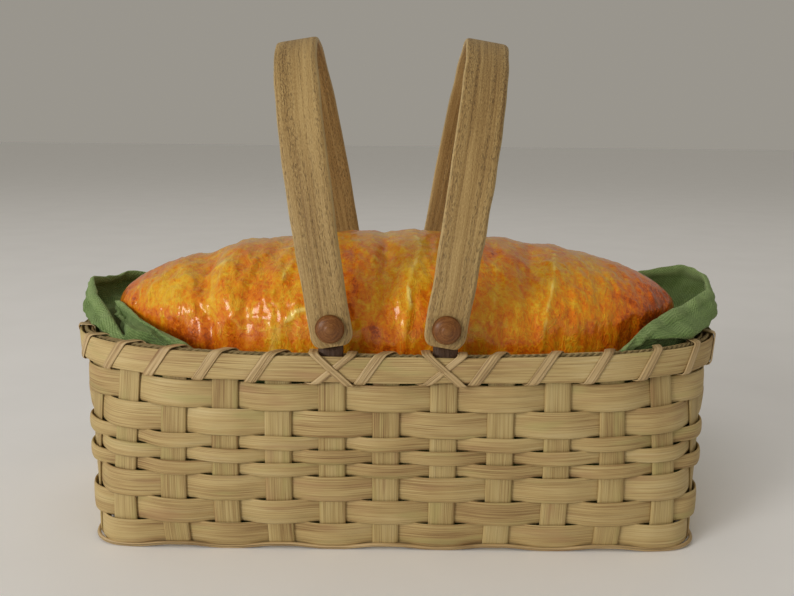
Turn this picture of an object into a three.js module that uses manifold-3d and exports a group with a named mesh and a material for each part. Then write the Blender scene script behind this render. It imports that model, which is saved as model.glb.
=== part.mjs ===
// A woven reed basket with two swing handles, a green cloth liner and one long glazed loaf.
// Millimetres, +Z up. The origin is the middle of the base's underside and +X runs along the basket.
//
// The wall is a surface: u goes once round it in four quarters (0 front middle, 1 right end,
// 2 back middle, 3 left end), z is the height, and d is the distance out from the middle of the
// wall's thickness. Stakes, weavers, rim, lashing and liner are all drawn on that surface, so they
// interlace and clear one another by construction.

import * as THREE from "three";
import { mergeVertices } from "three/addons/utils/BufferGeometryUtils.js";
import Module from "manifold-3d";

const wasm = await Module();
wasm.setup();

// ---- Driving dimensions ----

const CLEAR = 0.3; // left between touching pieces

const wall = {
  baseHalfLength: 185.5,
  lengthFlare: 21.7, // how much longer each half is at the rim
  lengthFlarePower: 1.3,
  rimHalfDepth: 99.5,
  depthFlare: 14.9, // how much narrower each half is at the floor
  depthFlareHeight: 46,
  baseSquareness: 14, // superellipse exponents: a box at the floor, an oval at the rim
  rimSquareness: 2.66,
};

const reed = {
  thickness: 1.4,
  wide: 15.8,
  narrow: 8.2,
  widePitch: 16.2, // row to row
  narrowPitch: 8.6,
  bow: 2.5, // how far a weaver stands off the wall's middle where it passes a stake
  flat: 7, // half the length that lies flat on a stake
};

const stake = {
  width: 16,
  middleX: -6, // the middle stake is a little left of centre, as the spacing is by hand
  leftPitch: 32,
  rightPitch: 34,
  endPitch: 33,
  perSide: 5, // either side of the middle stake
  perEnd: 2,
  top: 124,
  topUnderEar: 111.4,
  wallLevels: [79, 50, 22, 3.2], // where a stake bends a little on its way up
  cornerLevels: [86, 60, 40, 20, 3.2], // the same beside a corner, where it also twists
};

const floor = {
  middle: 1.55, // height of the floor's middle
  lift: 0.85, // over and under it
  flat: 8.6, // half the length that lies level at a crossing
  bend: 1.5, // how far in from the wall the stakes turn up
};

const firstRowTop = 109.5;
const rowWidths = ["wide", "wide", "narrow", "narrow", "narrow", "wide", "wide", "wide"];

const foot = { height: 1.5, radius: 1.3, out: 3, dip: 1.7 };

const rim = {
  bottom: 111.8,
  top: 127.3,
  outer: [2.1, 4.3], // nearest and furthest distance out
  inner: [-4.8, -2.6],
  steps: 60,
};

const filler = { height: 127.6, radius: 1.8, out: -0.2, endGap: 9, steps: 50 };

const lashing = {
  thickness: 0.9,
  slack: 0.9, // how far it stands off the bands, which it cannot follow round the ends
  width: 5.8, // measured along the rim; the strip itself is slanted
  lead: [0, 12, 18, 30], // how far along the rim each corner of a turn lies
  earLead: [4.5, 30.2, 30.6, 31.6], // the turn that rises across an ear
  crossLead: [12.2, -13.5, -13.9, 12], // the turn that crosses it, from the ear's middle
  crossRise: 0.5, // how far it stands over the first
};

const ear = { width: 16, inner: 96.2, outer: 99.4, bottom: 112.2, holeRadius: 3.95 };

const peg = {
  height: 144.3,
  shankRadius: 3.5,
  tail: 94.6, // how far out the shank's inner end lies
  headInner: 104.1,
  headRadius: 8.3,
  headDepth: 5.6,
  shoulders: [[1, 0.35], [0.8, 0.75]], // where the head turns in, as shares of both
  sides: 12,
};

const handle = {
  halfSpan: 101.8, // to the middle of the strap's thickness
  rise: 168.6, // from the pegs to the top of the hoop
  roundness: 1.87,
  width: 26.2,
  thickness: 3.8,
  belowPeg: 11,
  endWidth: 13,
  endLength: 12, // the rounded part of an end
  endSteps: [1, 0.8, 0.5, 0.25], // its sections, as shares of the length below the peg
  holeRadius: 3.95,
  lean: THREE.MathUtils.degToRad(9.5), // each stands a little outward
  hoopSteps: 30,
};

const liner = {
  thickness: 1.6,
  out: -9.3, // its inner face
  floorHeight: 3.6,
  floorShare: 0.86, // how much of the floor it covers before it turns up
  turnUp: 12, // how high that turn is
  wallLevels: [52, 90],
  neck: 133, // where it leaves the rim's cover
  edge: 8, // at least this much stands above the neck
  swell: { from: 132, to: 150, by: 5.5 }, // it bellies out over the rim
  tuck: { from: 152, by: 3 }, // and turns back in towards its edge
  sideTop: 121,
  endTop: 166,
  flapFrom: 112, // the part of the length where the cloth starts to rise past the rim
  flapFull: 186,
  steps: 30,
};

const loaf = {
  halfLength: 189.5,
  halfWidth: 85.5,
  widest: 138.5, // height of its widest level
  crown: 187.5,
  keel: -6, // the underside's curve would reach here, and is flat where it rests
  underside: 5.7,
  crownPower: 0.53, // its outline over the crown from the side, against 0.5 for an ellipse
  keelPower: 4, // how box-like its lower outline is from the side, against 2
  girthPower: 2.6, // how box-like a section is below the widest level, against 2
  stations: 27,
  tipGap: 0.6, // the step from a tip to the next station, against 1 between stations
  sides: 18,
};

// The powers by which scores in the crust die out at its sides and tips.
const scoreFade = { side: 0.35, tip: 6 };

// Scores and bursts across the crust: where each crosses the crown, how it runs to the front and
// back sides, how wide and how deep it is. A negative depth stands proud.
const scores = [
  { at: -128, slant: 2, bow: 16, halfWidth: 9, depth: 3.4 },
  { at: -104, slant: 4, bow: 4, halfWidth: 10, depth: -1.6 },
  { at: -72, slant: 12, bow: -8, halfWidth: 6, depth: 1.6 },
  { at: -9, slant: -2, bow: 3, halfWidth: 6, depth: 3.0 },
  { at: 12, slant: 5, bow: -4, halfWidth: 8, depth: -1.8 },
  { at: 61, slant: 1, bow: -1, halfWidth: 5, depth: 1.4 },
  { at: 88, slant: 6, bow: -4, halfWidth: 9, depth: 2.8 },
  { at: 108, slant: 12, bow: -4, halfWidth: 6, depth: -1.2 },
];

// ---- Materials ----

const finish = (color, roughness) =>
  new THREE.MeshStandardMaterial({ color, roughness, metalness: 0 });
const palette = {
  stake: [0xc9b684, 0.75],
  weaver: [0xc4ae78, 0.75],
  rim: [0xc2ab78, 0.7],
  lashing: [0xb89a66, 0.7],
  filler: [0x9c9058, 0.8],
  handle: [0x9c7d52, 0.6],
  ear: [0x8a6b45, 0.65],
  peg: [0x754a38, 0.4],
  cloth: [0x56794b, 0.95],
  crust: [0xc67f2c, 0.3],
};

// ---- Plain helpers ----

const mix = (from, to, share) => from + (to - from) * share;
const clamp = (value, low, high) => Math.min(Math.max(value, low), high);
const range = (count) => Array.from({ length: count }, (_, i) => i);
const smooth = (low, high, value) => THREE.MathUtils.smoothstep(value, low, high);

/** An indexed geometry of positions only, turned so that its faces point out. */
function closedGeometry(positions, triangles) {
  let volume = 0;
  const at = (i) => new THREE.Vector3(...positions[i]);
  for (const [a, b, c] of triangles) volume += at(a).dot(at(b).cross(at(c)));
  const faces = volume < 0 ? triangles.map(([a, b, c]) => [a, c, b]) : triangles;
  const geometry = new THREE.BufferGeometry();
  geometry.setAttribute("position", new THREE.Float32BufferAttribute(positions.flat(), 3));
  geometry.setIndex(faces.flat());
  return geometry;
}

/** Skins a row of sections, each a ring of as many points, into one closed body. */
function skin(sections, closed) {
  const sides = sections[0].length;
  const last = sections.length - (closed ? 0 : 1);
  const triangles = [];
  for (let i = 0; i < last; i++) {
    const here = i * sides;
    const next = ((i + 1) % sections.length) * sides;
    for (let j = 0; j < sides; j++) {
      const k = (j + 1) % sides;
      triangles.push([here + j, here + k, next + k], [here + j, next + k, next + j]);
    }
  }
  if (!closed) {
    const end = last * sides;
    for (let j = 1; j < sides - 1; j++) {
      triangles.push([0, j + 1, j], [end, end + j, end + j + 1]);
    }
  }
  return closedGeometry(sections.flat(), triangles);
}

/** Takes a three.js geometry to merged positions, without the slivers that merging leaves. */
function cleaned(geometry) {
  const bare = new THREE.BufferGeometry();
  bare.setAttribute("position", geometry.getAttribute("position"));
  bare.setIndex(geometry.index);
  const merged = mergeVertices(bare, 1e-4);
  const position = merged.getAttribute("position");
  const points = range(position.count).map((i) =>
    new THREE.Vector3().fromBufferAttribute(position, i).toArray(),
  );
  const triangles = [];
  for (let i = 0; i < merged.index.count; i += 3) {
    const [a, b, c] = [0, 1, 2].map((j) => merged.index.getX(i + j));
    if (a !== b && b !== c && c !== a) triangles.push([a, b, c]);
  }
  return closedGeometry(points, triangles);
}

/** A closed geometry as a solid that can be joined and cut. */
function solidOf(geometry) {
  const vertProperties = new Float32Array(geometry.getAttribute("position").array);
  const triVerts = new Uint32Array(geometry.index.array);
  return new wasm.Manifold(new wasm.Mesh({ numProp: 3, vertProperties, triVerts }));
}

/** The geometry of a solid. */
function geometryOf(solid) {
  const { vertProperties, triVerts, numProp, numVert } = solid.getMesh();
  const three = (array, from) => [...array.subarray(from, from + 3)];
  const points = range(numVert).map((i) => three(vertProperties, i * numProp));
  const triangles = range(triVerts.length / 3).map((i) => three(triVerts, 3 * i));
  return closedGeometry(points, triangles);
}

/** A round bar along Y, to cut a hole for a peg. */
function holeAlongY(x, y, z, radius, length) {
  const bar = new THREE.CylinderGeometry(radius, radius, length, peg.sides);
  return solidOf(cleaned(bar.translate(x, y, z)));
}

const root = new THREE.Group();

/** Adds a named piece with a finish of its own. */
function addPiece(name, geometry, colours, parent = root) {
  geometry.computeVertexNormals();
  const mesh = new THREE.Mesh(geometry, finish(...colours));
  mesh.name = name;
  parent.add(mesh);
  return mesh;
}

// ---- The wall's surface ----

/** Half-length, half-depth and squareness of the wall's outline at a height. */
function outlineAt(z) {
  const rise = clamp(z / rim.top, 0, 1);
  return {
    a: wall.baseHalfLength + wall.lengthFlare * rise ** wall.lengthFlarePower,
    b: wall.rimHalfDepth - wall.depthFlare * Math.exp(-z / wall.depthFlareHeight),
    n: 1 / mix(1 / wall.baseSquareness, 1 / wall.rimSquareness, rise),
  };
}

const QUARTER_STEPS = 240;
const levels = new Map();

/** One quarter of the outline at a height, front middle to right end, measured along its length. */
function quarterAt(z) {
  if (levels.has(z)) return levels.get(z);
  const { a, b, n } = outlineAt(z);
  const points = [];
  let length = 0;
  for (let i = 0; i <= QUARTER_STEPS; i++) {
    const angle = (Math.PI / 2) * (i / QUARTER_STEPS);
    const [s, c] = [Math.sin(angle), Math.cos(angle)];
    const r = ((s / a) ** n + (Math.max(c, 0) / b) ** n) ** (-1 / n);
    const point = { x: r * s, y: r * Math.max(c, 0), at: 0 };
    if (i) length += Math.hypot(point.x - points[i - 1].x, point.y - points[i - 1].y);
    point.at = length;
    points.push(point);
  }
  const quarter = { points, length, a, b, n };
  levels.set(z, quarter);
  return quarter;
}

/** The point at u round the wall, z up it and d out from it. */
function onWall(u, z, d) {
  const { points, length, a, b, n } = quarterAt(z);
  const turn = ((u % 4) + 4) % 4;
  const quarter = Math.floor(turn);
  const part = quarter % 2 ? 1 - (turn - quarter) : turn - quarter;
  const target = clamp(part * length, 0, length);
  let i = 1;
  while (i < QUARTER_STEPS && points[i].at < target) i++;
  const [from, to] = [points[i - 1], points[i]];
  const share = (target - from.at) / (to.at - from.at);
  const x = mix(from.x, to.x, share);
  const y = mix(from.y, to.y, share);
  const [nx, ny] = [(x / a) ** (n - 1) / a, (y / b) ** (n - 1) / b];
  const size = Math.hypot(nx, ny);
  const [signX, signY] = [quarter < 2 ? 1 : -1, quarter === 1 || quarter === 2 ? 1 : -1];
  return [signX * (x + (nx / size) * d), signY * (y + (ny / size) * d), z];
}

/** A length along the wall as a part of a quarter turn, at a height. */
const along = (length, z) => length / quarterAt(z).length;

// ---- Stakes: where each stands ----

/** How far round a quarter the floor's outline reaches a distance along the side. */
function shareAtX(x) {
  const { points, length } = quarterAt(0);
  const i = points.findIndex((p) => p.x >= x);
  const share = (x - points[i - 1].x) / (points[i].x - points[i - 1].x);
  return mix(points[i - 1].at, points[i].at, share) / length;
}

/** The same for a distance across the end. */
function shareAtY(y) {
  if (y === 0) return 1;
  const { points, length } = quarterAt(0);
  const i = points.findIndex((p) => p.y <= y);
  const share = (points[i - 1].y - y) / (points[i - 1].y - points[i].y);
  return mix(points[i - 1].at, points[i].at, share) / length;
}

const crossStakeX = (k) => stake.middleX + k * (k < 0 ? stake.leftPitch : stake.rightPitch);
const longStakeY = (j) => j * stake.endPitch;

const frontU = (x) => (x >= 0 ? shareAtX(x) : -shareAtX(-x));
const backU = (x) => 2 - frontU(x);
const rightU = (y) => (y <= 0 ? shareAtY(-y) : 2 - shareAtY(y));
const leftU = (y) => 4 - rightU(y);

const ACROSS = range(2 * stake.perSide + 1).map((i) => i - stake.perSide);
const LENGTHWISE = range(2 * stake.perEnd + 1).map((i) => i - stake.perEnd);

// Every stake in turn round the wall, from the middle of the front: the corner gaps come after
// the last stake of each side.
const standing = [
  ...ACROSS.filter((k) => k >= 0).map((k) => ({ u: frontU(crossStakeX(k)), corner: k === stake.perSide })),
  ...LENGTHWISE.map((j) => ({ u: rightU(longStakeY(j)), corner: j === stake.perEnd })),
  ...[...ACROSS].reverse().map((k) => ({ u: backU(crossStakeX(k)), corner: k === -stake.perSide })),
  ...[...LENGTHWISE].reverse().map((j) => ({ u: leftU(longStakeY(j)), corner: j === -stake.perEnd })),
  ...ACROSS.filter((k) => k < 0).map((k) => ({ u: 4 + frontU(crossStakeX(k)), corner: false })),
];

/** Where stake i stands, counting on past one turn. */
const stakeU = (i) => standing[i % standing.length].u + 4 * Math.floor(i / standing.length);

// ---- Stakes: up one wall, across the floor and up the other ----

/** A stake's section on the wall, from one edge to the other. */
function wallSection(edges, z) {
  const half = reed.thickness / 2;
  const [first, second] = edges;
  return [
    onWall(first, z, -half),
    onWall(second, z, -half),
    onWall(second, z, half),
    onWall(first, z, half),
  ];
}

/** Its sections on the floor, over and under what it crosses, between two turned-up ends. */
function floorSections(crossings, reach, place) {
  const half = reed.thickness / 2;
  const section = (t, height) => [
    place(t, -stake.width / 2, height + half),
    place(t, stake.width / 2, height + half),
    place(t, stake.width / 2, height - half),
    place(t, -stake.width / 2, height - half),
  ];
  const sections = [section(-reach, floor.middle)];
  for (const { at, over } of crossings) {
    const height = floor.middle + (over ? floor.lift : -floor.lift);
    sections.push(section(at - floor.flat, height), section(at + floor.flat, height));
  }
  sections.push(section(reach, floor.middle));
  return sections;
}

const isEven = (n) => n % 2 === 0;

for (const k of ACROSS) {
  const x = crossStakeX(k);
  const top = Math.abs(k) === 1 ? stake.topUnderEar : stake.top;
  const byCorner = Math.abs(k) === stake.perSide;
  const heights = [top, ...(byCorner ? stake.cornerLevels : stake.wallLevels)];
  const edgesAt = (middle, z) => {
    const half = along(stake.width / 2, z);
    return [middle - half, middle + half];
  };
  const front = heights.map((z) => wallSection(edgesAt(frontU(x), z), z));
  const back = heights.map((z) => wallSection([...edgesAt(backU(x), z)].reverse(), z));
  const crossings = LENGTHWISE.map((j) => ({ at: longStakeY(j), over: isEven(k + j) }));
  const reach = outlineAt(0).b - floor.bend;
  const across = floorSections(crossings, reach, (t, side, z) => [x + side, t, z]);
  const geometry = skin([...front, ...across, ...back.reverse()], false);
  addPiece(`stake_across_${k + stake.perSide + 1}`, geometry, palette.stake);
}

for (const j of LENGTHWISE) {
  const y = longStakeY(j);
  const byCorner = Math.abs(j) === stake.perEnd;
  const heights = [stake.top, ...(byCorner ? stake.cornerLevels : stake.wallLevels)];
  const edgesAt = (middle, z) => {
    const half = along(stake.width / 2, z);
    return [middle + half, middle - half];
  };
  const left = heights.map((z) => wallSection(edgesAt(leftU(y), z), z));
  const right = heights.map((z) => wallSection([...edgesAt(rightU(y), z)].reverse(), z));
  const crossings = ACROSS.map((k) => ({ at: crossStakeX(k), over: !isEven(k + j) }));
  const reach = outlineAt(0).a - floor.bend;
  const lengthwise = floorSections(crossings, reach, (t, side, z) => [t, y + side, z]);
  const geometry = skin([...left, ...lengthwise, ...right.reverse()], false);
  addPiece(`stake_long_${j + stake.perEnd + 1}`, geometry, palette.stake);
}

// ---- Weavers: eight rings, over one stake and under the next ----

/** Points round the wall where a ring that passes outside every other stake bends. */
function weavingPath(z, row, out, back) {
  const flat = along(reed.flat, z);
  const path = [];
  standing.forEach(({ corner }, i) => {
    const d = isEven(i + row) ? out : back;
    path.push({ u: stakeU(i) - flat, d }, { u: stakeU(i) + flat, d });
    if (corner) path.push({ u: (stakeU(i) + stakeU(i + 1)) / 2, d: 0 });
  });
  return path;
}

let rowTop = firstRowTop;
rowWidths.forEach((kind, row) => {
  const bottom = rowTop - reed[kind];
  const half = reed.thickness / 2;
  const path = weavingPath((rowTop + bottom) / 2, row, reed.bow, -reed.bow);
  const sections = path.map(({ u, d }) => [
    onWall(u, bottom, d - half),
    onWall(u, bottom, d + half),
    onWall(u, rowTop, d + half),
    onWall(u, rowTop, d - half),
  ]);
  addPiece(`weaver_${row + 1}`, skin(sections, true), palette.weaver);
  rowTop -= reed[`${kind}Pitch`];
});

// ---- Foot: one round strand that bulges over every stake and dips between ----

/** A square-set section round a point of the wall. */
const diamond = (u, z, d, radius) => [
  onWall(u, z, d - radius),
  onWall(u, z - radius, d),
  onWall(u, z, d + radius),
  onWall(u, z + radius, d),
];

const footPath = standing.flatMap(({ corner }, i) => {
  const half = along(stake.width / 2, foot.height);
  const middle = { u: (stakeU(i) + stakeU(i + 1)) / 2, d: foot.dip };
  const edges = [stakeU(i) + half, stakeU(i + 1) - half].map((u) => ({ u, d: foot.out }));
  const gap = corner ? [edges[0], middle, edges[1]] : [middle];
  return [{ u: stakeU(i), d: foot.out }, ...gap];
});
addPiece(
  "foot_strand",
  skin(footPath.map(({ u, d }) => diamond(u, foot.height, d, foot.radius)), true),
  palette.lashing,
);

// ---- Rim: two flat bands, a twisted filler between them and the lashing over all ----

/** A flat band round the wall. */
function band([near, far]) {
  const sections = range(rim.steps).map((i) => {
    const u = (4 * i) / rim.steps;
    return [
      onWall(u, rim.bottom, near),
      onWall(u, rim.bottom, far),
      onWall(u, rim.top, far),
      onWall(u, rim.top, near),
    ];
  });
  return skin(sections, true);
}
addPiece("rim_outer", band(rim.outer), palette.rim);
addPiece("rim_inner", band(rim.inner), palette.rim);

// The ears stand in for the tops of four stakes, two on the front and two on the back.
const EAR_STAKES = [1, 15, 17, 31];
const FILLER_NAMES = ["filler_right", "filler_back", "filler_left", "filler_front"];
EAR_STAKES.forEach((i, n) => {
  const next = EAR_STAKES[(n + 1) % EAR_STAKES.length];
  const gap = along(filler.endGap, rim.top);
  const from = stakeU(i) + gap;
  const to = stakeU(next) + (next < i ? 4 : 0) - gap;
  const steps = Math.max(4, Math.round(((to - from) / 4) * filler.steps));
  const sections = range(steps + 1).map((s) =>
    diamond(mix(from, to, s / steps), filler.height, filler.out, filler.radius),
  );
  addPiece(FILLER_NAMES[n], skin(sections, false), palette.filler);
});

/** The corners of one turn of lashing round the rim, as distance out and height. */
function turnCorners(rise) {
  const t = lashing.thickness;
  const outside = rim.outer[1] + lashing.slack + rise;
  const inside = rim.inner[0] - lashing.slack - rise;
  const low = rim.bottom - CLEAR;
  const high = filler.height + filler.radius + CLEAR + rise;
  return [
    { near: [outside, low], far: [outside + t, low - t] },
    { near: [outside, high], far: [outside + t, high + t] },
    { near: [inside, high], far: [inside - t, high + t] },
    { near: [inside, low], far: [inside - t, low - t] },
  ];
}

/** The strip's sections at the corners of a turn that starts at u. */
function lashingTurn(u, lead, rise) {
  const half = along(lashing.width / 2, rim.top);
  return turnCorners(rise).map(({ near, far }, i) => {
    const middle = u + along(lead[i], rim.top);
    return [
      onWall(middle - half, near[1], near[0]),
      onWall(middle + half, near[1], near[0]),
      onWall(middle + half, far[1], far[0]),
      onWall(middle - half, far[1], far[0]),
    ];
  });
}

const turns = standing.flatMap((_, i) => {
  const overEar = EAR_STAKES.includes((i + 1) % standing.length);
  const middle = (stakeU(i) + stakeU(i + 1)) / 2;
  return lashingTurn(middle, overEar ? lashing.earLead : lashing.lead, 0);
});
const crossTurn = (i) => skin(lashingTurn(stakeU(i), lashing.crossLead, lashing.crossRise), true);
const wrapped = EAR_STAKES.reduce(
  (solid, i) => solid.add(solidOf(crossTurn(i))),
  solidOf(skin(turns, true)),
);
addPiece("lashing", geometryOf(wrapped), palette.lashing);

// ---- Ears and pegs ----

/** A tab with a round top and a hole, standing in the X-Z plane with its hole at the origin. */
function earGeometry() {
  const shape = new THREE.Shape();
  const half = ear.width / 2;
  shape.moveTo(-half, ear.bottom - peg.height);
  shape.lineTo(half, ear.bottom - peg.height);
  shape.absarc(0, 0, half, 0, Math.PI, false);
  const hole = new THREE.Path();
  hole.absarc(0, 0, ear.holeRadius, 0, 2 * Math.PI, true);
  shape.holes.push(hole);
  const depth = ear.outer - ear.inner;
  const made = new THREE.ExtrudeGeometry(shape, { depth, bevelEnabled: false, curveSegments: 6 });
  return cleaned(made.translate(0, 0, -depth / 2).rotateX(Math.PI / 2));
}

/** A mushroom-headed peg along +Y, from the shank's inner end at y = 0. */
function pegGeometry() {
  const head = peg.headInner - peg.tail;
  const profile = [
    [0, 0],
    [peg.shankRadius, 0],
    [peg.shankRadius, head],
    [peg.headRadius, head],
    ...peg.shoulders.map(([out, up]) => [out * peg.headRadius, head + up * peg.headDepth]),
    [0, head + peg.headDepth],
  ];
  return cleaned(new THREE.LatheGeometry(profile.map((p) => new THREE.Vector2(...p)), peg.sides));
}

const SIDES = { front: -1, back: 1 };
const PIVOTS = { left: crossStakeX(-1), right: crossStakeX(1) };

for (const [end, x] of Object.entries(PIVOTS)) {
  for (const [side, sign] of Object.entries(SIDES)) {
    const tab = addPiece(`ear_${end}_${side}`, earGeometry(), palette.ear);
    tab.position.set(x, (sign * (ear.inner + ear.outer)) / 2, peg.height);
    const pin = addPiece(`peg_${end}_${side}`, pegGeometry(), palette.peg);
    pin.position.set(x, sign * peg.tail, peg.height);
    pin.rotation.z = sign < 0 ? Math.PI : 0;
  }
}

// ---- Handles: two bent straps that swing on the pegs ----

/** The middle line of the hoop, as distance across and height over the pegs. */
function hoopLine() {
  const power = 2 / handle.roundness;
  const line = range(handle.hoopSteps + 1).map((i) => {
    const angle = Math.PI * (i / handle.hoopSteps);
    const [c, s] = [Math.cos(angle), Math.sin(angle)];
    const across = -Math.sign(c) * handle.halfSpan * Math.abs(c) ** power;
    return new THREE.Vector2(across, handle.rise * Math.max(s, 0) ** power);
  });
  const leg = (across) =>
    handle.endSteps.map((part) => new THREE.Vector2(across, -handle.belowPeg * part));
  return [...leg(-handle.halfSpan), ...line, ...leg(handle.halfSpan).reverse()];
}

/** Half the strap's width at a height over the pegs: the ends are rounded off. */
function strapHalfWidth(v) {
  const part = clamp((v + handle.belowPeg) / handle.endLength, 0, 1);
  return mix(handle.endWidth, handle.width, Math.sqrt(1 - (1 - part) ** 2)) / 2;
}

/** One handle with its pivot axis along Y through the origin. */
function handleGeometry() {
  const line = hoopLine();
  const half = handle.thickness / 2;
  const sections = line.map((point, i) => {
    const before = line[Math.max(i - 1, 0)];
    const after = line[Math.min(i + 1, line.length - 1)];
    const tangent = after.clone().sub(before).normalize();
    const out = [-tangent.y * half, tangent.x * half];
    const w = strapHalfWidth(point.y);
    return [
      [-w, point.x - out[0], point.y - out[1]],
      [w, point.x - out[0], point.y - out[1]],
      [w, point.x + out[0], point.y + out[1]],
      [-w, point.x + out[0], point.y + out[1]],
    ];
  });
  const strap = solidOf(skin(sections, false));
  const holes = Object.values(SIDES).map((sign) =>
    holeAlongY(0, sign * handle.halfSpan, 0, handle.holeRadius, 4 * handle.thickness),
  );
  return geometryOf(holes.reduce((solid, hole) => solid.subtract(hole), strap));
}

for (const [end, x] of Object.entries(PIVOTS)) {
  const swing = new THREE.Group();
  swing.position.set(x, 0, peg.height);
  swing.rotation.y = end === "left" ? -handle.lean : handle.lean;
  root.add(swing);
  addPiece(`handle_${end}`, handleGeometry(), palette.handle, swing);
}

// ---- Liner: a cloth that lines the basket and stands up past the rim at both ends ----

/** How high the cloth's edge stands at u. */
function clothTop(u) {
  const [x] = onWall(u, rim.top, 0);
  return mix(liner.sideTop, liner.endTop, smooth(liner.flapFrom, liner.flapFull, Math.abs(x)));
}

/** How far the cloth leans out at a height, from its place against the wall. */
function clothLean(z) {
  const { swell, tuck } = liner;
  return swell.by * smooth(swell.from, swell.to, z) - tuck.by * smooth(tuck.from, liner.endTop, z);
}

/** The points of one face of the cloth at u, from the floor to its edge. */
function clothProfile(u, face) {
  const top = clothTop(u);
  const d = liner.out + (face === "outer" ? liner.thickness : 0);
  const low = liner.floorHeight + (face === "outer" ? 0 : liner.thickness);
  const foot = low + liner.turnUp;
  const neck = Math.min(top - liner.edge, liner.neck);
  const heights = [foot, ...liner.wallLevels, neck, mix(neck, top, 0.5), top];
  const [x, y] = onWall(u, foot, d);
  const onFloor = [x * liner.floorShare, y * liner.floorShare, low];
  return [onFloor, ...heights.map((z) => onWall(u, z, d + clothLean(z)))];
}

/** The whole cloth: both faces, joined along the edge and closed at the middle of the floor. */
function linerGeometry() {
  const sections = range(liner.steps).map((i) => {
    const u = (4 * i) / liner.steps;
    return [...clothProfile(u, "outer"), ...clothProfile(u, "inner").reverse()];
  });
  const rows = sections[0].length;
  const points = sections.flat();
  const triangles = [];
  const [under, over] = [points.length, points.length + 1];
  points.push([0, 0, liner.floorHeight], [0, 0, liner.floorHeight + liner.thickness]);
  sections.forEach((_, i) => {
    const here = i * rows;
    const next = ((i + 1) % sections.length) * rows;
    for (let j = 0; j < rows - 1; j++) {
      triangles.push([here + j, here + j + 1, next + j + 1], [here + j, next + j + 1, next + j]);
    }
    triangles.push([under, here, next], [over, next + rows - 1, here + rows - 1]);
  });
  return closedGeometry(points, triangles);
}
addPiece("liner", linerGeometry(), palette.cloth);

// ---- Loaf ----

/** How far the crust stands out or in at a place along the loaf and over its crown. */
function crustRelief(x, over) {
  let relief = 0;
  for (const { at, slant, bow, halfWidth, depth } of scores) {
    const middle = at - slant * over + bow * over * over;
    relief -= depth * Math.exp(-(((x - middle) / halfWidth) ** 2));
  }
  return relief;
}

/** One ring round the loaf at a distance along it. */
function loafRing(x) {
  const part = Math.abs(x) / loaf.halfLength;
  const halfWidth = loaf.halfWidth * Math.sqrt(1 - part ** 2);
  const crown = (loaf.crown - loaf.widest) * (1 - part ** 2) ** loaf.crownPower;
  const depth = (loaf.widest - loaf.keel) * Math.sqrt(1 - part ** loaf.keelPower);
  return range(loaf.sides).map((i) => {
    const angle = (2 * Math.PI * i) / loaf.sides;
    const [c, s] = [Math.cos(angle), Math.sin(angle)];
    const upper = s >= 0;
    const power = upper ? 1 : 2 / loaf.girthPower;
    const height = upper ? crown : depth;
    const out = Math.sign(c) * Math.abs(c) ** power;
    const up = Math.sign(s) * Math.abs(s) ** power;
    const fade = upper ? s ** scoreFade.side * (1 - part ** scoreFade.tip) : 0;
    const grow = 1 + (crustRelief(x, -c) * fade) / Math.hypot(halfWidth * c, height * s);
    const z = loaf.widest + up * height * grow;
    return [x, out * halfWidth * grow, Math.max(z, loaf.underside)];
  });
}

/** The loaf from tip to tip. */
function loafGeometry() {
  const rings = range(loaf.stations).map((i) => {
    const share = (i + loaf.tipGap) / (loaf.stations - 1 + 2 * loaf.tipGap);
    return loafRing(-loaf.halfLength * Math.cos(Math.PI * share));
  });
  const points = rings.flat();
  const last = (rings.length - 1) * loaf.sides;
  const [left, right] = [points.length, points.length + 1];
  points.push([-loaf.halfLength, 0, loaf.widest], [loaf.halfLength, 0, loaf.widest]);
  const triangles = [];
  for (let i = 0; i < loaf.sides; i++) {
    const next = (i + 1) % loaf.sides;
    triangles.push([left, next, i], [right, last + i, last + next]);
    for (let ring = 0; ring < last; ring += loaf.sides) {
      triangles.push(
        [ring + i, ring + next, ring + loaf.sides + next],
        [ring + i, ring + loaf.sides + next, ring + loaf.sides + i],
      );
    }
  }
  return closedGeometry(points, triangles);
}
addPiece("loaf", loafGeometry(), palette.crust);

export default root;
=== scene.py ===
"""Looks for a long glazed loaf in a cloth-lined basket of woven flat reed with two swing handles.

Sizes are in millimetres in the basket's own frame: +X along the basket, +Y from its front to its
back, +Z up, with the origin in the middle of the underside. The wall of the basket is a surface:
a turn goes once round it in four quarters (0 front middle, 1 right end, 2 back middle, 3 left end),
and each reed is drawn on it by a turn, a height and a distance out.
"""

import functools
import itertools
import logging
import math
from collections.abc import Sequence
from dataclasses import dataclass
from enum import Enum

import bpy
import numpy as np
from mathutils import Matrix
from mathutils.kdtree import KDTree


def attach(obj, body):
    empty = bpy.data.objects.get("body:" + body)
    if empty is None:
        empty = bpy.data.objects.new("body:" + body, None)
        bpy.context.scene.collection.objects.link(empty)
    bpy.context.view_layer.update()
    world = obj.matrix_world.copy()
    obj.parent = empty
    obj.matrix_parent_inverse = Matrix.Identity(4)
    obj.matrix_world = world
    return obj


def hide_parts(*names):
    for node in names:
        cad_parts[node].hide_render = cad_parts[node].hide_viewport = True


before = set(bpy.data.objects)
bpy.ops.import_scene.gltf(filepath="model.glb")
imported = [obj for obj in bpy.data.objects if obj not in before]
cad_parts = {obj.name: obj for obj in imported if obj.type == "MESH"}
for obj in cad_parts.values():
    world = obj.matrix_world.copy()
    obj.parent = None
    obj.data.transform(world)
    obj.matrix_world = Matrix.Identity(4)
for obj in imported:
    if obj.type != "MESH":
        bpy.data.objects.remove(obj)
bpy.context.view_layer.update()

MM = 0.001
BASKET = "basket"
SURFACE = "surface"
LOG = logging.getLogger("bread_basket")
Array = np.ndarray
Colour = tuple[float, float, float]
Socket = bpy.types.NodeSocket

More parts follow.
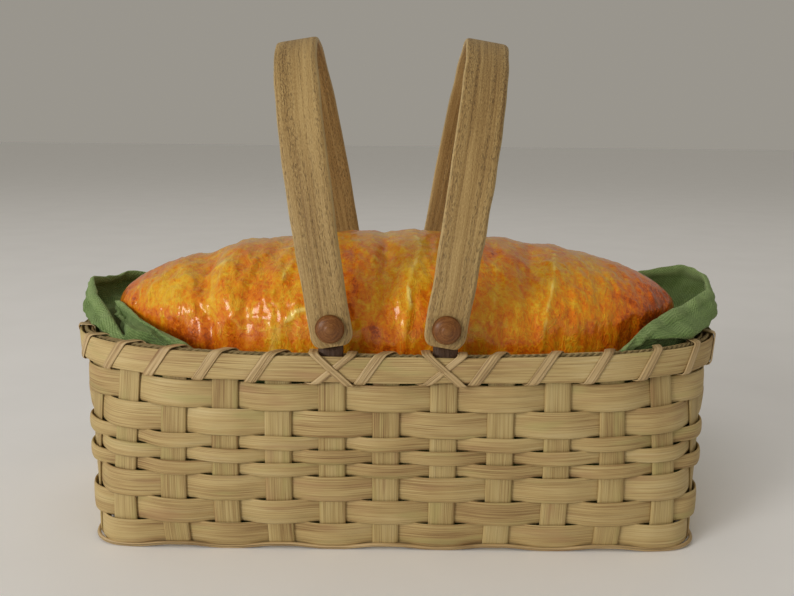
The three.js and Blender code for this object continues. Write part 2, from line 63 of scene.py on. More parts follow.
# Whole numbers that shuffle the place of a noise cell into its value.
SHUFFLE_AXES = (73856093, 19349663, 83492791)
SHUFFLE_SEED = 7919
SHUFFLE_ROUNDS = ((13, 1274126177), (15, 668265263))
SHUFFLE_LAST = 16

# The most of a path's side that the bend at one of its ends takes up.
BEND_SHARE = 0.45

# Small values that keep a division or a place in a grid from running over.
TINY = 1e-9
SLIGHT = 1e-6


# ---- Small sums ----


def unit(vectors: Array) -> Array:
    """Vectors of length one along the last axis."""
    return vectors / np.maximum(np.linalg.norm(vectors, axis=-1, keepdims=True), TINY)


def mix(first: Array | float, second: Array | float, share: Array | float) -> Array | float:
    """A value between two others, by a share from 0 to 1."""
    return first + (second - first) * share


def eased(share: Array | float) -> Array | float:
    """A share from 0 to 1 that starts and ends gently."""
    return share * share * (3 - 2 * share)


def step(low: float, high: float, value: Array | float) -> Array | float:
    """A gentle step from 0 at low to 1 at high, which may be under low."""
    return eased(np.clip((value - low) / (high - low), 0, 1))


def curve(start: Array, corner: Array, end: Array, t: Array | float) -> Array:
    """The bend from a start to an end that a corner pulls on, at t from 0 to 1."""
    return start * (1 - t) ** 2 + 2 * corner * t * (1 - t) + end * t**2


def travelled(points: Array) -> Array:
    """How far along a line each of its points lies."""
    return np.concatenate([[0], np.cumsum(np.linalg.norm(np.diff(points, axis=0), axis=-1))])


def circle(count: int) -> Array:
    """Angles evenly round a circle."""
    return np.arange(count) * 2 * np.pi / count


def waver(turn: Array, seed: int, swing: float, waves: int) -> Array:
    """The unevenness of handwork round a closed loop, a sum of three whole numbers of waves.

    Args:
        turn: place round the loop, from 0 to 1.
        seed: which unevenness.
        swing: about how far it goes either way.
        waves: about how many swings there are in the loop.

    Returns:
        The offset at each place.
    """
    random = np.random.default_rng(seed)
    total = np.zeros_like(turn)
    for _ in range(3):
        count = int(random.integers(max(1, waves // 2), waves * 2))
        total = total + np.sin(2 * np.pi * (count * turn + random.random()))
    return swing * total / 2


def lattice(points: Array, seed: int) -> Array:
    """Smooth noise from 0 to 1 with a cell one unit across.

    Args:
        points: places in space, shape (n, 3).
        seed: which noise.

    Returns:
        One value for each point.
    """
    cell = np.floor(points).astype(np.int64)
    part = eased(points - cell)
    total = np.zeros(len(points))
    for corner in itertools.product((0, 1), repeat=3):
        mixed = (cell + corner) @ np.array(SHUFFLE_AXES) + seed * SHUFFLE_SEED
        for shift, factor in SHUFFLE_ROUNDS:
            mixed = ((mixed ^ (mixed >> shift)) * factor) & 0xFFFFFFFF
        weight = np.prod(np.where(corner, part, 1 - part), axis=1)
        total += weight * ((mixed ^ (mixed >> SHUFFLE_LAST)) & 0xFFFF) / 0xFFFF
    return total


def cloud(points: Array, size: Sequence[float] | float, layers: int, seed: int) -> Array:
    """Noise from about -1 to 1 in several layers, each half the size of the last.

    Args:
        points: places in space, in millimetres.
        size: millimetres from one swell to the next, for each axis or for all.
        layers: how many layers.
        seed: which noise.

    Returns:
        One value for each point.
    """
    scaled = points / np.asarray(size, float)
    total = np.zeros(len(points))
    for layer in range(layers):
        total += (lattice(scaled * 2.0**layer, seed + layer) - 0.5) * 0.5**layer
    return 2 * total


@dataclass(frozen=True)
class Swell:
    """One kind of unevenness: its size in millimetres, its layers, its own number and its height."""

    size: tuple[float, float, float] | float
    layers: int
    seed: int
    height: float = 1.0

    def at(self, points: Array) -> Array:
        """How high it stands at each place."""
        return self.height * cloud(points, self.size, self.layers, self.seed)

    def ridges(self, points: Array) -> Array:
        """The same as sharp ridges, highest where it crosses zero."""
        return self.height * (1 - 2 * np.abs(cloud(points, self.size, self.layers, self.seed)))


# ---- Meshes ----


def write_surface(mesh: bpy.types.Mesh, values: Array) -> None:
    """Gives a mesh its surface coordinates, in place of any that it has.

    Args:
        mesh: the mesh.
        values: three numbers for each of its points.
    """
    if SURFACE in mesh.attributes:
        mesh.attributes.remove(mesh.attributes[SURFACE])
    layer = mesh.attributes.new(SURFACE, "FLOAT_VECTOR", "POINT")
    layer.data.foreach_set("vector", values.astype(np.float32).ravel())


@dataclass
class Shape:
    """Points, faces and surface coordinates of one piece.

    The surface coordinates, which the finishes read, are millimetres along and across the piece
    and a number of its own. On the loaf they are three masks instead.
    """

    points: Array
    faces: list[Array]
    surface: Array

    @staticmethod
    def joined(shapes: Sequence["Shape"]) -> "Shape":
        """Several shapes as one.

        Args:
            shapes: the shapes to join.

        Returns:
            One shape with all their faces.
        """
        starts = np.cumsum([0] + [len(shape.points) for shape in shapes])
        faces = [f + start for shape, start in zip(shapes, starts) for f in shape.faces]
        points = np.concatenate([shape.points for shape in shapes])
        return Shape(points, faces, np.concatenate([shape.surface for shape in shapes]))

    def volume(self) -> float:
        """How much the faces enclose.

        Returns:
            The signed volume, below zero where the faces point inwards.
        """
        total = 0.0
        for faces in self.faces:
            for i in range(1, faces.shape[1] - 1):
                a, b, c = (self.points[faces[:, j]] for j in (0, i, i + 1))
                total += float(np.einsum("ij,ij->", a, np.cross(b, c)))
        return total / 6

    def placed(self, matrix: Matrix) -> "Shape":
        """The shape moved by a matrix in millimetres."""
        m = np.array(matrix)
        return Shape(self.points @ m[:3, :3].T + m[:3, 3], self.faces, self.surface)

    def to_object(self, name: str) -> bpy.types.Object:
        """Makes the Blender object, with its faces turned out and smooth.

        Args:
            name: the object's name.

        Returns:
            The object, in metres.
        """
        outward = self.volume() >= 0
        faces = [f if outward else f[:, ::-1] for f in self.faces]
        sizes = np.concatenate([np.full(len(f), f.shape[1]) for f in faces])
        corners = np.concatenate([f.ravel() for f in faces]).astype(np.int32)
        mesh = bpy.data.meshes.new(name)
        mesh.vertices.add(len(self.points))
        mesh.vertices.foreach_set("co", (self.points * MM).astype(np.float32).ravel())
        mesh.loops.add(len(corners))
        mesh.loops.foreach_set("vertex_index", corners)
        mesh.polygons.add(len(sizes))
        starts = np.concatenate([[0], np.cumsum(sizes)[:-1]]).astype(np.int32)
        mesh.polygons.foreach_set("loop_start", starts)
        mesh.polygons.foreach_set("use_smooth", np.ones(len(sizes), bool))
        write_surface(mesh, self.surface)
        mesh.update(calc_edges=True)
        mesh.validate()
        made = bpy.data.objects.new(name, mesh)
        bpy.context.scene.collection.objects.link(made)
        return made


def grid_faces(rows: int, columns: int, round_rows: bool, round_columns: bool) -> Array:
    """The four-sided faces of a grid of points.

    Args:
        rows: how many rows of points.
        columns: how many points in a row.
        round_rows: whether the last row joins the first.
        round_columns: whether each row closes on itself.

    Returns:
        The corner numbers, shape (faces, 4).
    """
    i = np.arange(rows if round_rows else rows - 1)[:, None]
    j = np.arange(columns if round_columns else columns - 1)[None, :]
    below, beside = (i + 1) % rows, (j + 1) % columns
    corners = [i * columns + j, i * columns + beside, below * columns + beside, below * columns + j]
    return np.stack([np.broadcast_to(c, (i.size, j.size)) for c in corners], -1).reshape(-1, 4)


def tube_faces(rings: int, sides: int, closed: bool) -> list[Array]:
    """The faces of a tube: its wall and, unless it closes on itself, a cap at each end.

    Args:
        rings: how many rings of points.
        sides: points in a ring.
        closed: whether the last ring joins the first.

    Returns:
        The corner numbers of the faces.
    """
    faces = [grid_faces(rings, sides, closed, True)]
    if not closed:
        cap = np.arange(sides)[None, :]
        faces += [cap[:, ::-1], cap + (rings - 1) * sides]
    return faces


def strip_surface(centre: Array, reach: Array, seed: float) -> Array:
    """Surface coordinates of a strip or strand.

    Args:
        centre: points along its middle.
        reach: how far across or round it each point lies, a row for each point of the middle.
        seed: the piece's own number.

    Returns:
        Millimetres along and across and the number, shape (n, 3).
    """
    along = np.broadcast_to(travelled(centre)[:, None], reach.shape)
    return np.stack([along, reach, reach * 0 + seed], -1).reshape(-1, 3)


def flat_section(samples: int, squareness: float) -> tuple[Array, Array]:
    """The outline of a flat strip with soft edges, as shares of half its width and thickness.

    Args:
        samples: points on each face, edges included.
        squareness: how late the faces turn in to the edges; 2 is an ellipse.

    Returns:
        Shares across and shares through, once round.
    """
    angle = np.linspace(-np.pi / 2, np.pi / 2, samples)
    across = np.sin(angle)
    through = np.sqrt(np.clip(1 - np.abs(across) ** squareness, 0, 1))
    back = slice(samples - 2, 0, -1)
    return np.concatenate([across, across[back]]), np.concatenate([through, -through[back]])


def ribbon(
    left: Array,
    right: Array,
    thickness: Array | float,
    closed: bool,
    squareness: float,
    seed: float,
    samples: int = 9,
) -> Shape:
    """A strip between two edge lines, with soft edges.

    Args:
        left: points along one edge, half-way through the strip.
        right: points along the other.
        thickness: how thick it is, all along or at each point.
        closed: whether it joins its own start.
        squareness: how flat its faces are.
        seed: the piece's own number.
        samples: points across each face.

    Returns:
        The strip as a shape.
    """
    centre, half = (left + right) / 2, (right - left) / 2
    if closed:
        tangent = np.roll(centre, -1, 0) - np.roll(centre, 1, 0)
    else:
        tangent = np.gradient(centre, axis=0)
    normal = unit(np.cross(tangent, half))
    across, through = flat_section(samples, squareness)
    depth = np.broadcast_to(thickness, (len(left),))[:, None] * through / 2
    points = centre[:, None] + half[:, None] * across[:, None] + normal[:, None] * depth[..., None]
    surface = strip_surface(centre, np.linalg.norm(half, axis=1)[:, None] * across, seed)
    count = len(across)
    faces = [grid_faces(len(left), count, closed, True)]
    if not closed:
        under = [0, *range(count - 1, samples - 1, -1), samples - 1]
        for start, turned in ((0, True), ((len(left) - 1) * count, False)):
            quads = np.array([[i, i + 1, under[i + 1], under[i]] for i in range(1, samples - 2)])
            tips = np.array([[0, 1, under[1]], [samples - 2, samples - 1, under[-2]]])
            faces += [(f[:, ::-1] if turned else f) + start for f in (quads, tips)]
    return Shape(points.reshape(-1, 3), faces, surface)


def strand(centre: Array, side: Array, radius: float, sides: int, closed: bool, seed: float) -> Shape:
    """A round strand along a line.

    Args:
        centre: points along its middle.
        side: a direction across it at each point.
        radius: half its thickness.
        sides: points round it.
        closed: whether it joins its own start.
        seed: the piece's own number.

    Returns:
        The strand as a shape.
    """
    if closed:
        tangent = unit(np.roll(centre, -1, 0) - np.roll(centre, 1, 0))
    else:
        tangent = unit(np.gradient(centre, axis=0))
    over = unit(np.cross(tangent, side))
    level = np.cross(over, tangent)
    angle = circle(sides)
    ring = level[:, None] * np.cos(angle)[:, None] + over[:, None] * np.sin(angle)[:, None]
    points = (centre[:, None] + ring * radius).reshape(-1, 3)
    surface = strip_surface(centre, np.broadcast_to(angle * radius, (len(centre), sides)), seed)
    return Shape(points, tube_faces(len(centre), sides, closed), surface)


def rounded(corners: Array, radius: float, steps: int) -> Array:
    """An open path whose corners are rounded off.

    Args:
        corners: its corners, of which the first three numbers are a place.
        radius: how far from a corner its bend starts.
        steps: points in each bend.

    Returns:
        The points of the path.
    """
    path = [corners[:1]]
    t = np.linspace(0, 1, steps)[:, None]
    for before, corner, after in zip(corners[:-2], corners[1:-1], corners[2:]):
        ends = []
        for other in (before, after):
            gap = np.linalg.norm((other - corner)[:3])
            ends.append(corner + (other - corner) * min(radius / gap, BEND_SHARE))
        path.append(curve(ends[0], corner, ends[1], t))
    return np.concatenate([*path, corners[-1:]])


def evenly(path: Array, spacing: float) -> Array:
    """A path with its points an even distance apart.

    Args:
        path: points of any spacing, of which the first three numbers are a place.
        spacing: the distance wanted, in millimetres.

    Returns:
        The new points, from the same start to the same end.
    """
    along = travelled(path[:, :3])
    places = np.linspace(0, along[-1], max(3, int(along[-1] / spacing) + 1))
    return np.stack([np.interp(places, along, path[:, axis]) for axis in range(path.shape[1])], -1)


def softened(loop: Array, spread: float) -> Array:
    """A closed line with its corners smoothed away.

    Args:
        loop: evenly spaced values round a loop, shape (n, k).
        spread: how many points the smoothing reaches to either side.

    Returns:
        The smoothed values.
    """
    wave = np.fft.fftfreq(len(loop))[:, None]
    gain = np.exp(-2 * (np.pi * wave * spread) ** 2)
    return np.fft.ifft(np.fft.fft(loop, axis=0) * gain, axis=0).real


def over_under(place: Array, marks: Array, levels: Array, flat: float) -> Array:
    """The height of a strand that lies level at each mark and crosses gently between them.

    Args:
        place: where along the strand.
        marks: the places of the crossings, in order.
        levels: the height at each.
        flat: how far to either side of a mark it stays level.

    Returns:
        The height at each place.
    """
    i = np.clip(np.searchsorted(marks, place, side="right") - 1, 0, len(marks) - 2)
    span = np.maximum(marks[i + 1] - marks[i] - 2 * flat, SLIGHT)
    share = np.clip((place - marks[i] - flat) / span, 0, 1)
    return mix(levels[i], levels[i + 1], eased(share))


# ---- Finishes ----


class Graph:
    """A material's node tree, built a node at a time."""

    def __init__(self, name: str) -> None:
        """Starts a material with a bare shader.

        Args:
            name: the material's name.
        """
        self.material = bpy.data.materials.new(name)
        self.material.use_nodes = True
        self.tree = self.material.node_tree
        self.tree.nodes.clear()
        self.shader = self.tree.nodes.new("ShaderNodeBsdfPrincipled")
        output = self.tree.nodes.new("ShaderNodeOutputMaterial")
        self.tree.links.new(self.shader.outputs["BSDF"], output.inputs["Surface"])

    def set(self, **values: float | tuple) -> None:
        """Sets plain values on the shader's sockets, each named with _ for a space."""
        for name, value in values.items():
            self.shader.inputs[name.replace("_", " ")].default_value = value

    def node(self, kind: str, inputs: dict, **settings: object) -> bpy.types.Node:
        """Adds a node.

        Args:
            kind: the node's type, without its ShaderNode.
            inputs: a value or another node's output for each input.
            **settings: the node's own settings.

        Returns:
            The node.
        """
        made = self.tree.nodes.new("ShaderNode" + kind)
        for name, value in settings.items():
            setattr(made, name, value)
        for name, value in inputs.items():
            if isinstance(value, Socket):
                self.tree.links.new(value, made.inputs[name])
            else:
                made.inputs[name].default_value = value
        return made

    def surface(self) -> Socket:
        """The surface coordinates that each shape carries."""
        named = self.node("Attribute", {}, attribute_name=SURFACE, attribute_type="GEOMETRY")
        return named.outputs["Vector"]

    def place(self) -> Socket:
        """The place in the basket's frame, in millimetres."""
        coordinates = self.node("TexCoord", {})
        return self.stretched(coordinates.outputs["Object"], (1 / MM, 1 / MM, 1 / MM))

    def parts(self, vector: Socket) -> list[Socket]:
        """The three numbers of a vector."""
        return list(self.node("SeparateXYZ", {"Vector": vector}).outputs)

    def stretched(self, vector: Socket, by: Colour) -> Socket:
        """A vector scaled along each axis."""
        made = self.node("VectorMath", {0: vector, 1: by}, operation="MULTIPLY")
        return made.outputs["Vector"]

    def noise(
        self, vector: Socket, by: Colour, detail: float, roughness: float, distortion: float = 0.0
    ) -> Socket:
        """Noise with its own scale along each axis.

        Args:
            vector: where it is read.
            by: swells for each millimetre, for the three axes.
            detail: how many layers.
            roughness: how strong the small layers are.
            distortion: how twisted it is.

        Returns:
            The noise, about 0.3 to 0.7.
        """
        inputs = {
            "Vector": self.stretched(vector, by),
            "Scale": 1.0,
            "Detail": detail,
            "Roughness": roughness,
            "Distortion": distortion,
        }
        return self.node("TexNoise", inputs).outputs[0]

    def math(self, how: str, first: Socket, second: Socket | float = 0.0) -> Socket:
        """A sum on one or two values, by Blender's name for it."""
        return self.node("Math", {0: first, 1: second}, operation=how).outputs[0]

    def span(self, value: Socket, low: float, high: float, top: float = 1.0) -> Socket:
        """A value spread gently so that low becomes 0 and high becomes top.

        Args:
            value: the value.
            low: what becomes 0.
            high: what becomes top; it may be under low.
            top: the most that comes out.

        Returns:
            The value from 0 to top.
        """
        inputs = {"Value": value, "From Min": low, "From Max": high, "To Max": top}
        made = self.node("MapRange", inputs, interpolation_type="SMOOTHSTEP")
        return made.outputs[0]

    def sum(self, start: float, *terms: tuple[float, Socket]) -> Socket:
        """A weighted sum.

        Args:
            start: what the sum starts from.
            *terms: pairs of a weight and a value.

        Returns:
            The sum.
        """
        total: Socket | float = start
        for weight, value in terms:
            inputs = {0: value, 1: weight, 2: total}
            total = self.node("Math", inputs, operation="MULTIPLY_ADD").outputs[0]
        return total

    def ramp(self, value: Socket, stops: dict[float, Colour]) -> Socket:
        """Colours along a value.

        Args:
            value: from 0 to 1.
            stops: the colour at each place.

        Returns:
            The colour.
        """
        made = self.node("ValToRGB", {0: value})
        elements = made.color_ramp.elements
        while len(elements) < len(stops):
            elements.new(0.5)
        for element, (place, colour) in zip(elements, sorted(stops.items())):
            element.position = place
            element.color = (*colour, 1.0)
        return made.outputs[0]

    def blend(self, share: Socket | float, first: Socket | Colour, second: Socket | Colour) -> Socket:
        """One colour laid over another.

        Args:
            share: how much of the second shows.
            first: the colour under it.
            second: the colour on top.

        Returns:
            The colour.
        """
        made = self.node("Mix", {"Factor": share}, data_type="RGBA")
        for wanted, value in (("A_Color", first), ("B_Color", second)):
            entry = next(i for i in made.inputs if i.identifier == wanted)
            if isinstance(value, Socket):
                self.tree.links.new(value, entry)
            else:
                entry.default_value = (*value, 1.0)
        return next(o for o in made.outputs if o.identifier == "Result_Color")

    def finish(self, colour: Socket, roughness: Socket, height: Socket, depth: float) -> bpy.types.Material:
        """Joins colour, roughness and relief to the shader.

        Args:
            colour: the base colour.
            roughness: the roughness.
            height: the relief, from 0 to 1.
            depth: how deep it is, in millimetres.

        Returns:
            The material.
        """
        self.tree.links.new(colour, self.shader.inputs["Base Color"])
        self.tree.links.new(roughness, self.shader.inputs["Roughness"])
        bump = self.node("Bump", {"Height": height, "Strength": 1.0, "Distance": depth * MM})
        self.tree.links.new(bump.outputs["Normal"], self.shader.inputs["Normal"])
        return self.material


@dataclass(frozen=True)
class Finish:
    """A finish: the name of its slot and how it is made."""

    slot: str

    def make(self) -> bpy.types.Material:
        """Builds the material."""
        raise NotImplementedError


@functools.cache
def material_of(finish: Finish) -> bpy.types.Material:
    """The one material of a finish."""
    return finish.make()


@dataclass(frozen=True)
class Reed(Finish):
    """Bare reed: long fibres, a few dark ones, and a tone that drifts along each strip."""

    dark: Colour = (0.23, 0.13, 0.05)
    middle: Colour = (0.42, 0.29, 0.12)
    light: Colour = (0.50, 0.37, 0.160)
    pale: Colour = (0.58, 0.46, 0.235)
    stain: Colour = (0.39, 0.235, 0.11)
    green: Colour = (0.43, 0.36, 0.14)
    fibres_per_mm: float = 2.0
    relief: float = 0.2

    def make(self) -> bpy.types.Material:
        """Builds the material.

        Returns:
            The material.
        """
        graph = Graph(self.slot)
        at = graph.surface()
        fibres = graph.noise(at, (0.018, self.fibres_per_mm, 9.7), 4.0, 0.62)
        hairs = graph.noise(at, (0.035, 3.4 * self.fibres_per_mm, 3.1), 2.0, 0.5)
        drift = graph.noise(at, (0.013, 0.05, 17.3), 2.0, 0.5)
        tone = graph.sum(-1.75, (1.9, fibres), (1.2, hairs), (1.4, drift))
        stops = {0.0: self.dark, 0.34: self.middle, 0.62: self.light, 1.0: self.pale}
        colour = graph.ramp(tone, stops)
        patches = graph.noise(at, (0.02, 0.10, 31.9), 2.0, 0.5)
        colour = graph.blend(graph.span(patches, 0.56, 0.76, 0.7), colour, self.stain)
        colour = graph.blend(graph.span(patches, 0.44, 0.28, 0.6), colour, self.green)
        streak = graph.span(graph.noise(at, (0.010, 2.1 * self.fibres_per_mm, 5.3), 1.0, 0.4), 0.37, 0.27)
        colour = graph.blend(graph.math("MULTIPLY", streak, 0.7), colour, self.dark)
        height = graph.sum(0.0, (0.6, fibres), (0.35, hairs), (-0.3, streak))
        graph.set(Specular_IOR_Level=0.35)
        return graph.finish(colour, graph.sum(0.44, (0.4, hairs)), height, self.relief)


@dataclass(frozen=True)
class Cane(Finish):
    """Split cane of the lashing: smoother than reed, with two or three deep grooves along it."""

    dark: Colour = (0.25, 0.14, 0.055)
    light: Colour = (0.48, 0.335, 0.155)
    pale: Colour = (0.58, 0.43, 0.23)
    relief: float = 0.35

    def make(self) -> bpy.types.Material:
        """Builds the material.

        Returns:
            The material.
        """
        graph = Graph(self.slot)
        at = graph.surface()
        grooves = graph.noise(at, (0.012, 0.75, 7.7), 2.0, 0.6)
        hairs = graph.noise(at, (0.05, 4.0, 3.7), 2.0, 0.5)
        drift = graph.noise(at, (0.03, 0.08, 13.1), 2.0, 0.5)
        tone = graph.sum(-1.3, (1.8, grooves), (0.5, hairs), (1.3, drift))
        colour = graph.ramp(tone, {0.0: self.dark, 0.5: self.light, 1.0: self.pale})
        height = graph.sum(0.0, (1.0, graph.span(grooves, 0.36, 0.52)), (0.2, hairs))
        graph.set(Specular_IOR_Level=0.45)
        return graph.finish(colour, graph.sum(0.36, (0.3, hairs)), height, self.relief)


@dataclass(frozen=True)
class Grass(Finish):
    """Twisted grass cord: olive and straw blades along each ply."""

    olive: Colour = (0.22, 0.165, 0.07)
    straw: Colour = (0.42, 0.31, 0.15)
    brown: Colour = (0.15, 0.085, 0.038)
    relief: float = 0.35

    def make(self) -> bpy.types.Material:
        """Builds the material.

        Returns:
            The material.
        """
        graph = Graph(self.slot)
        at = graph.surface()
        blades = graph.noise(at, (0.08, 1.9, 5.9), 3.0, 0.6)
        drift = graph.noise(at, (0.05, 0.2, 23.0), 2.0, 0.5)
        tone = graph.sum(-0.75, (1.5, blades), (1.0, drift))
        colour = graph.ramp(tone, {0.0: self.brown, 0.4: self.olive, 0.9: self.straw})
        graph.set(Specular_IOR_Level=0.25)
        return graph.finish(colour, graph.sum(0.5, (0.4, blades)), blades, self.relief)


@dataclass(frozen=True)
class Bentwood(Finish):
    """Steam-bent open-pored hardwood: rows of dark pore dashes, fine grain and paler edges."""

    half_width: float
    dark: Colour = (0.18, 0.10, 0.032)
    middle: Colour = (0.335, 0.215, 0.078)
    light: Colour = (0.475, 0.330, 0.137)
    edge: Colour = (0.50, 0.37, 0.17)
    pore: Colour = (0.09, 0.05, 0.02)
    pale_edge_from: float = 1.3
    pale_edge_to: float = 0.2
    relief: float = 0.3

    def make(self) -> bpy.types.Material:
        """Builds the material.

        Returns:
            The material.
        """
        graph = Graph(self.slot)
        at = graph.surface()
        _, across, _ = graph.parts(at)
        grain = graph.noise(at, (0.025, 1.1, 11.0), 4.0, 0.65)
        fibre = graph.noise(at, (0.55, 2.3, 7.0), 3.0, 0.65)
        drift = graph.noise(at, (0.010, 0.07, 19.0), 2.0, 0.5)
        ribs = graph.noise(at, (0.004, 0.42, 47.0), 1.0, 0.4)
        tone = graph.sum(-1.95, (1.2, grain), (1.8, fibre), (1.0, drift), (0.9, ribs))
        colour = graph.ramp(tone, {0.0: self.dark, 0.5: self.middle, 1.0: self.light})
        rows = graph.span(graph.noise(at, (0.004, 0.24, 3.0), 1.0, 0.4), 0.46, 0.56)
        dashes = graph.span(graph.noise(at, (0.30, 1.5, 29.0), 2.0, 0.5), 0.54, 0.63)
        pores = graph.math("MULTIPLY", rows, dashes)
        colour = graph.blend(graph.math("MULTIPLY", pores, 0.45), colour, self.pore)
        middle = graph.math("ABSOLUTE", across)
        # Paler along both edges of the strap.
        paler_edges = graph.span(middle, self.half_width - self.pale_edge_from, self.half_width - self.pale_edge_to)
        colour = graph.blend(graph.math("MULTIPLY", paler_edges, 0.8), colour, self.edge)
        height = graph.sum(0.2, (0.35, grain), (0.35, fibre), (1.2, ribs), (-0.8, pores))
        graph.set(Specular_IOR_Level=0.4)
        return graph.finish(colour, graph.sum(0.38, (0.35, fibre)), height, self.relief)


@dataclass(frozen=True)
class Turned(Finish):
    """Turned brown wood with a soft polish: end grain rings and a painted highlight that makes the middle
    of each end paler.
    """

    dark: Colour = (0.07, 0.024, 0.005)
    middle: Colour = (0.17, 0.060, 0.012)
    light: Colour = (0.28, 0.120, 0.034)
    highlight_from: float = 3.2
    highlight_to: float = 0.6
    relief: float = 0.12

    def make(self) -> bpy.types.Material:
        """Builds the material.

        Returns:
            The material.
        """
        graph = Graph(self.slot)
        at = graph.surface()
        out, _, _ = graph.parts(at)
        rings = graph.noise(at, (1.15, 0.12, 9.0), 3.0, 0.6, 0.6)
        flecks = graph.noise(graph.place(), (1.6, 0.5, 1.6), 3.0, 0.6)
        tone = graph.sum(-0.8, (1.5, rings), (1.1, flecks))
        colour = graph.ramp(tone, {0.0: self.dark, 0.5: self.middle, 1.0: self.light})
        # Painted highlight: the middle of the head, and of the tail's end, is paler.
        crown = graph.span(out, self.highlight_from, self.highlight_to, 0.55)
        colour = graph.blend(crown, colour, self.light)
        graph.set(Coat_Weight=0.1, Coat_Roughness=0.3, Specular_IOR_Level=0.3)
        height = graph.sum(0.0, (0.6, rings), (0.4, flecks))
        return graph.finish(colour, graph.sum(0.25, (0.35, flecks)), height, self.relief)


@dataclass(frozen=True)
class Cloth(Finish):
    """Plain-woven green cotton: crossing threads, slubs, a soft nap and a painted highlight along the hem.
    """

    thread: float = 1.8
    dark: Colour = (0.060, 0.110, 0.030)
    middle: Colour = (0.155, 0.245, 0.072)
    light: Colour = (0.28, 0.39, 0.15)
    nap: Colour = (0.70, 0.82, 0.5)
    relief: float = 0.6

    def make(self) -> bpy.types.Material:
        """Builds the material.

        Returns:
            The material.
        """
        graph = Graph(self.slot)
        at = graph.surface()
        along, up, hem = graph.parts(at)
        turns = [graph.math("MULTIPLY", part, 2 * math.pi / self.thread) for part in (along, up)]
        waves = [graph.math("SINE", turn) for turn in turns]
        weave = graph.math("MULTIPLY", *waves)
        slubs = [graph.noise(at, by, 2.0, 0.6) for by in ((0.06, 1.2, 0.0), (1.2, 0.06, 0.0))]
        soft = graph.noise(at, (0.05, 0.05, 0.0), 3.0, 0.6)
        fuzz = graph.noise(graph.place(), (1.9, 1.9, 1.9), 3.0, 0.7)
        # The hem term lightens the tone along the hem: a painted highlight.
        terms = [(0.28, weave), (0.7, slubs[0]), (0.7, slubs[1]), (0.5, soft), (0.5, fuzz), (0.3, hem)]
        tone = graph.sum(-0.72, *terms)
        colour = graph.ramp(tone, {0.0: self.dark, 0.5: self.middle, 1.0: self.light})
        height = graph.sum(0.2, (0.55, weave), (0.6, slubs[0]), (0.6, slubs[1]), (0.3, fuzz))
        graph.set(Sheen_Weight=0.3, Sheen_Roughness=0.5, Sheen_Tint=(*self.nap, 1.0))
        graph.set(Specular_IOR_Level=0.2)
        return graph.finish(colour, graph.sum(0.82, (0.15, fuzz)), height, self.relief)


@dataclass(frozen=True)
class Crust(Finish):
    """Glazed crust: amber and orange mottled with red-brown, pale bursts, a wet-looking glaze.

    The surface coordinates are masks here: pale bursts, hollows and well-baked places. The hollows
    are darkened as painted shade, and the well-baked places by the cloth at the left end are partly
    painted shade. The tone is also darker lower down on the loaf, as painted shade.
    """

    burnt: Colour = (0.36, 0.055, 0.002)
    red: Colour = (0.63, 0.120, 0.003)
    orange: Colour = (0.74, 0.215, 0.004)
    amber: Colour = (0.75, 0.330, 0.008)
    yellow: Colour = (0.80, 0.480, 0.030)
    burst: Colour = (0.90, 0.70, 0.19)
    glaze: Colour = (1.0, 0.62, 0.30)
    relief: float = 0.65

    def make(self) -> bpy.types.Material:
        """Builds the material.

        Returns:
            The material.
        """
        graph = Graph(self.slot)
        at = graph.place()
        bursts, shaded_hollows, baked_and_shade = graph.parts(graph.surface())
        along, _, up = graph.parts(at)
        broad = graph.noise(at, (0.030, 0.02, 0.02), 2.0, 0.5)
        patches = graph.noise(at, (0.16, 0.12, 0.12), 4.0, 0.62, 0.5)
        specks = graph.noise(at, (0.50, 0.47, 0.47), 3.0, 0.6, 0.4)
        grains = graph.noise(at, (1.5, 1.5, 1.5), 2.0, 0.6)
        swell = graph.noise(at, (0.13, 0.075, 0.075), 3.0, 0.55, 1.2)
        crinkles = graph.span(graph.math("ABSOLUTE", graph.sum(-0.5, (1.0, swell))), 0.05, 0.0)
        terms = [(1.2, broad), (1.15, patches), (0.95, specks), (0.3, grains), (0.16, crinkles)]
        # Painted shade: the up term darkens the crust lower down, and the hollow term darkens the hollows.
        # The baked term is browning and, by the cloth at the left end, partly painted shade. The along term
        # makes the crust redder towards +X.
        places = [(-0.0006, along), (0.002, up), (-0.42, baked_and_shade), (0.45, bursts), (-0.16, shaded_hollows)]
        tone = graph.sum(-1.55, *terms, *places)
        stops = {0.0: self.burnt, 0.2: self.red, 0.46: self.orange, 0.7: self.amber, 1.0: self.yellow}
        colour = graph.ramp(tone, stops)
        colour = graph.blend(graph.span(bursts, 0.45, 1.0, 0.8), colour, self.burst)
        dots = graph.span(graph.noise(at, (0.30, 0.24, 0.24), 1.0, 0.5), 0.60, 0.70, 0.4)
        colour = graph.blend(dots, colour, self.red)
        height = graph.sum(0.0, (0.5, patches), (0.5, specks), (0.12, grains), (0.3, crinkles))
        graph.set(Coat_Weight=0.55, Coat_Roughness=0.14, Specular_IOR_Level=0.45)
        graph.set(Specular_Tint=(*self.glaze, 1.0))
        graph.set(Subsurface_Weight=0.08, Subsurface_Scale=3 * MM)
        return graph.finish(colour, graph.sum(0.17, (0.4, specks)), height, self.relief)


@dataclass(frozen=True)
class Backdrop(Finish):
    """The plain pale floor, which fills no slot of the record."""

    tint: Colour = (0.95, 0.95, 0.95)
    darker: float = 0.97
    relief: float = 0.02

    def make(self) -> bpy.types.Material:
        """Builds the material.

        Returns:
            The material.
        """
        graph = Graph("pale_floor")
        grain = graph.noise(graph.place(), (0.01, 0.01, 0.01), 3.0, 0.5)
        colour = graph.ramp(grain, {0.3: tuple(self.darker * c for c in self.tint), 0.7: self.tint})
        return graph.finish(colour, graph.sum(0.7, (0.1, grain)), grain, self.relief)


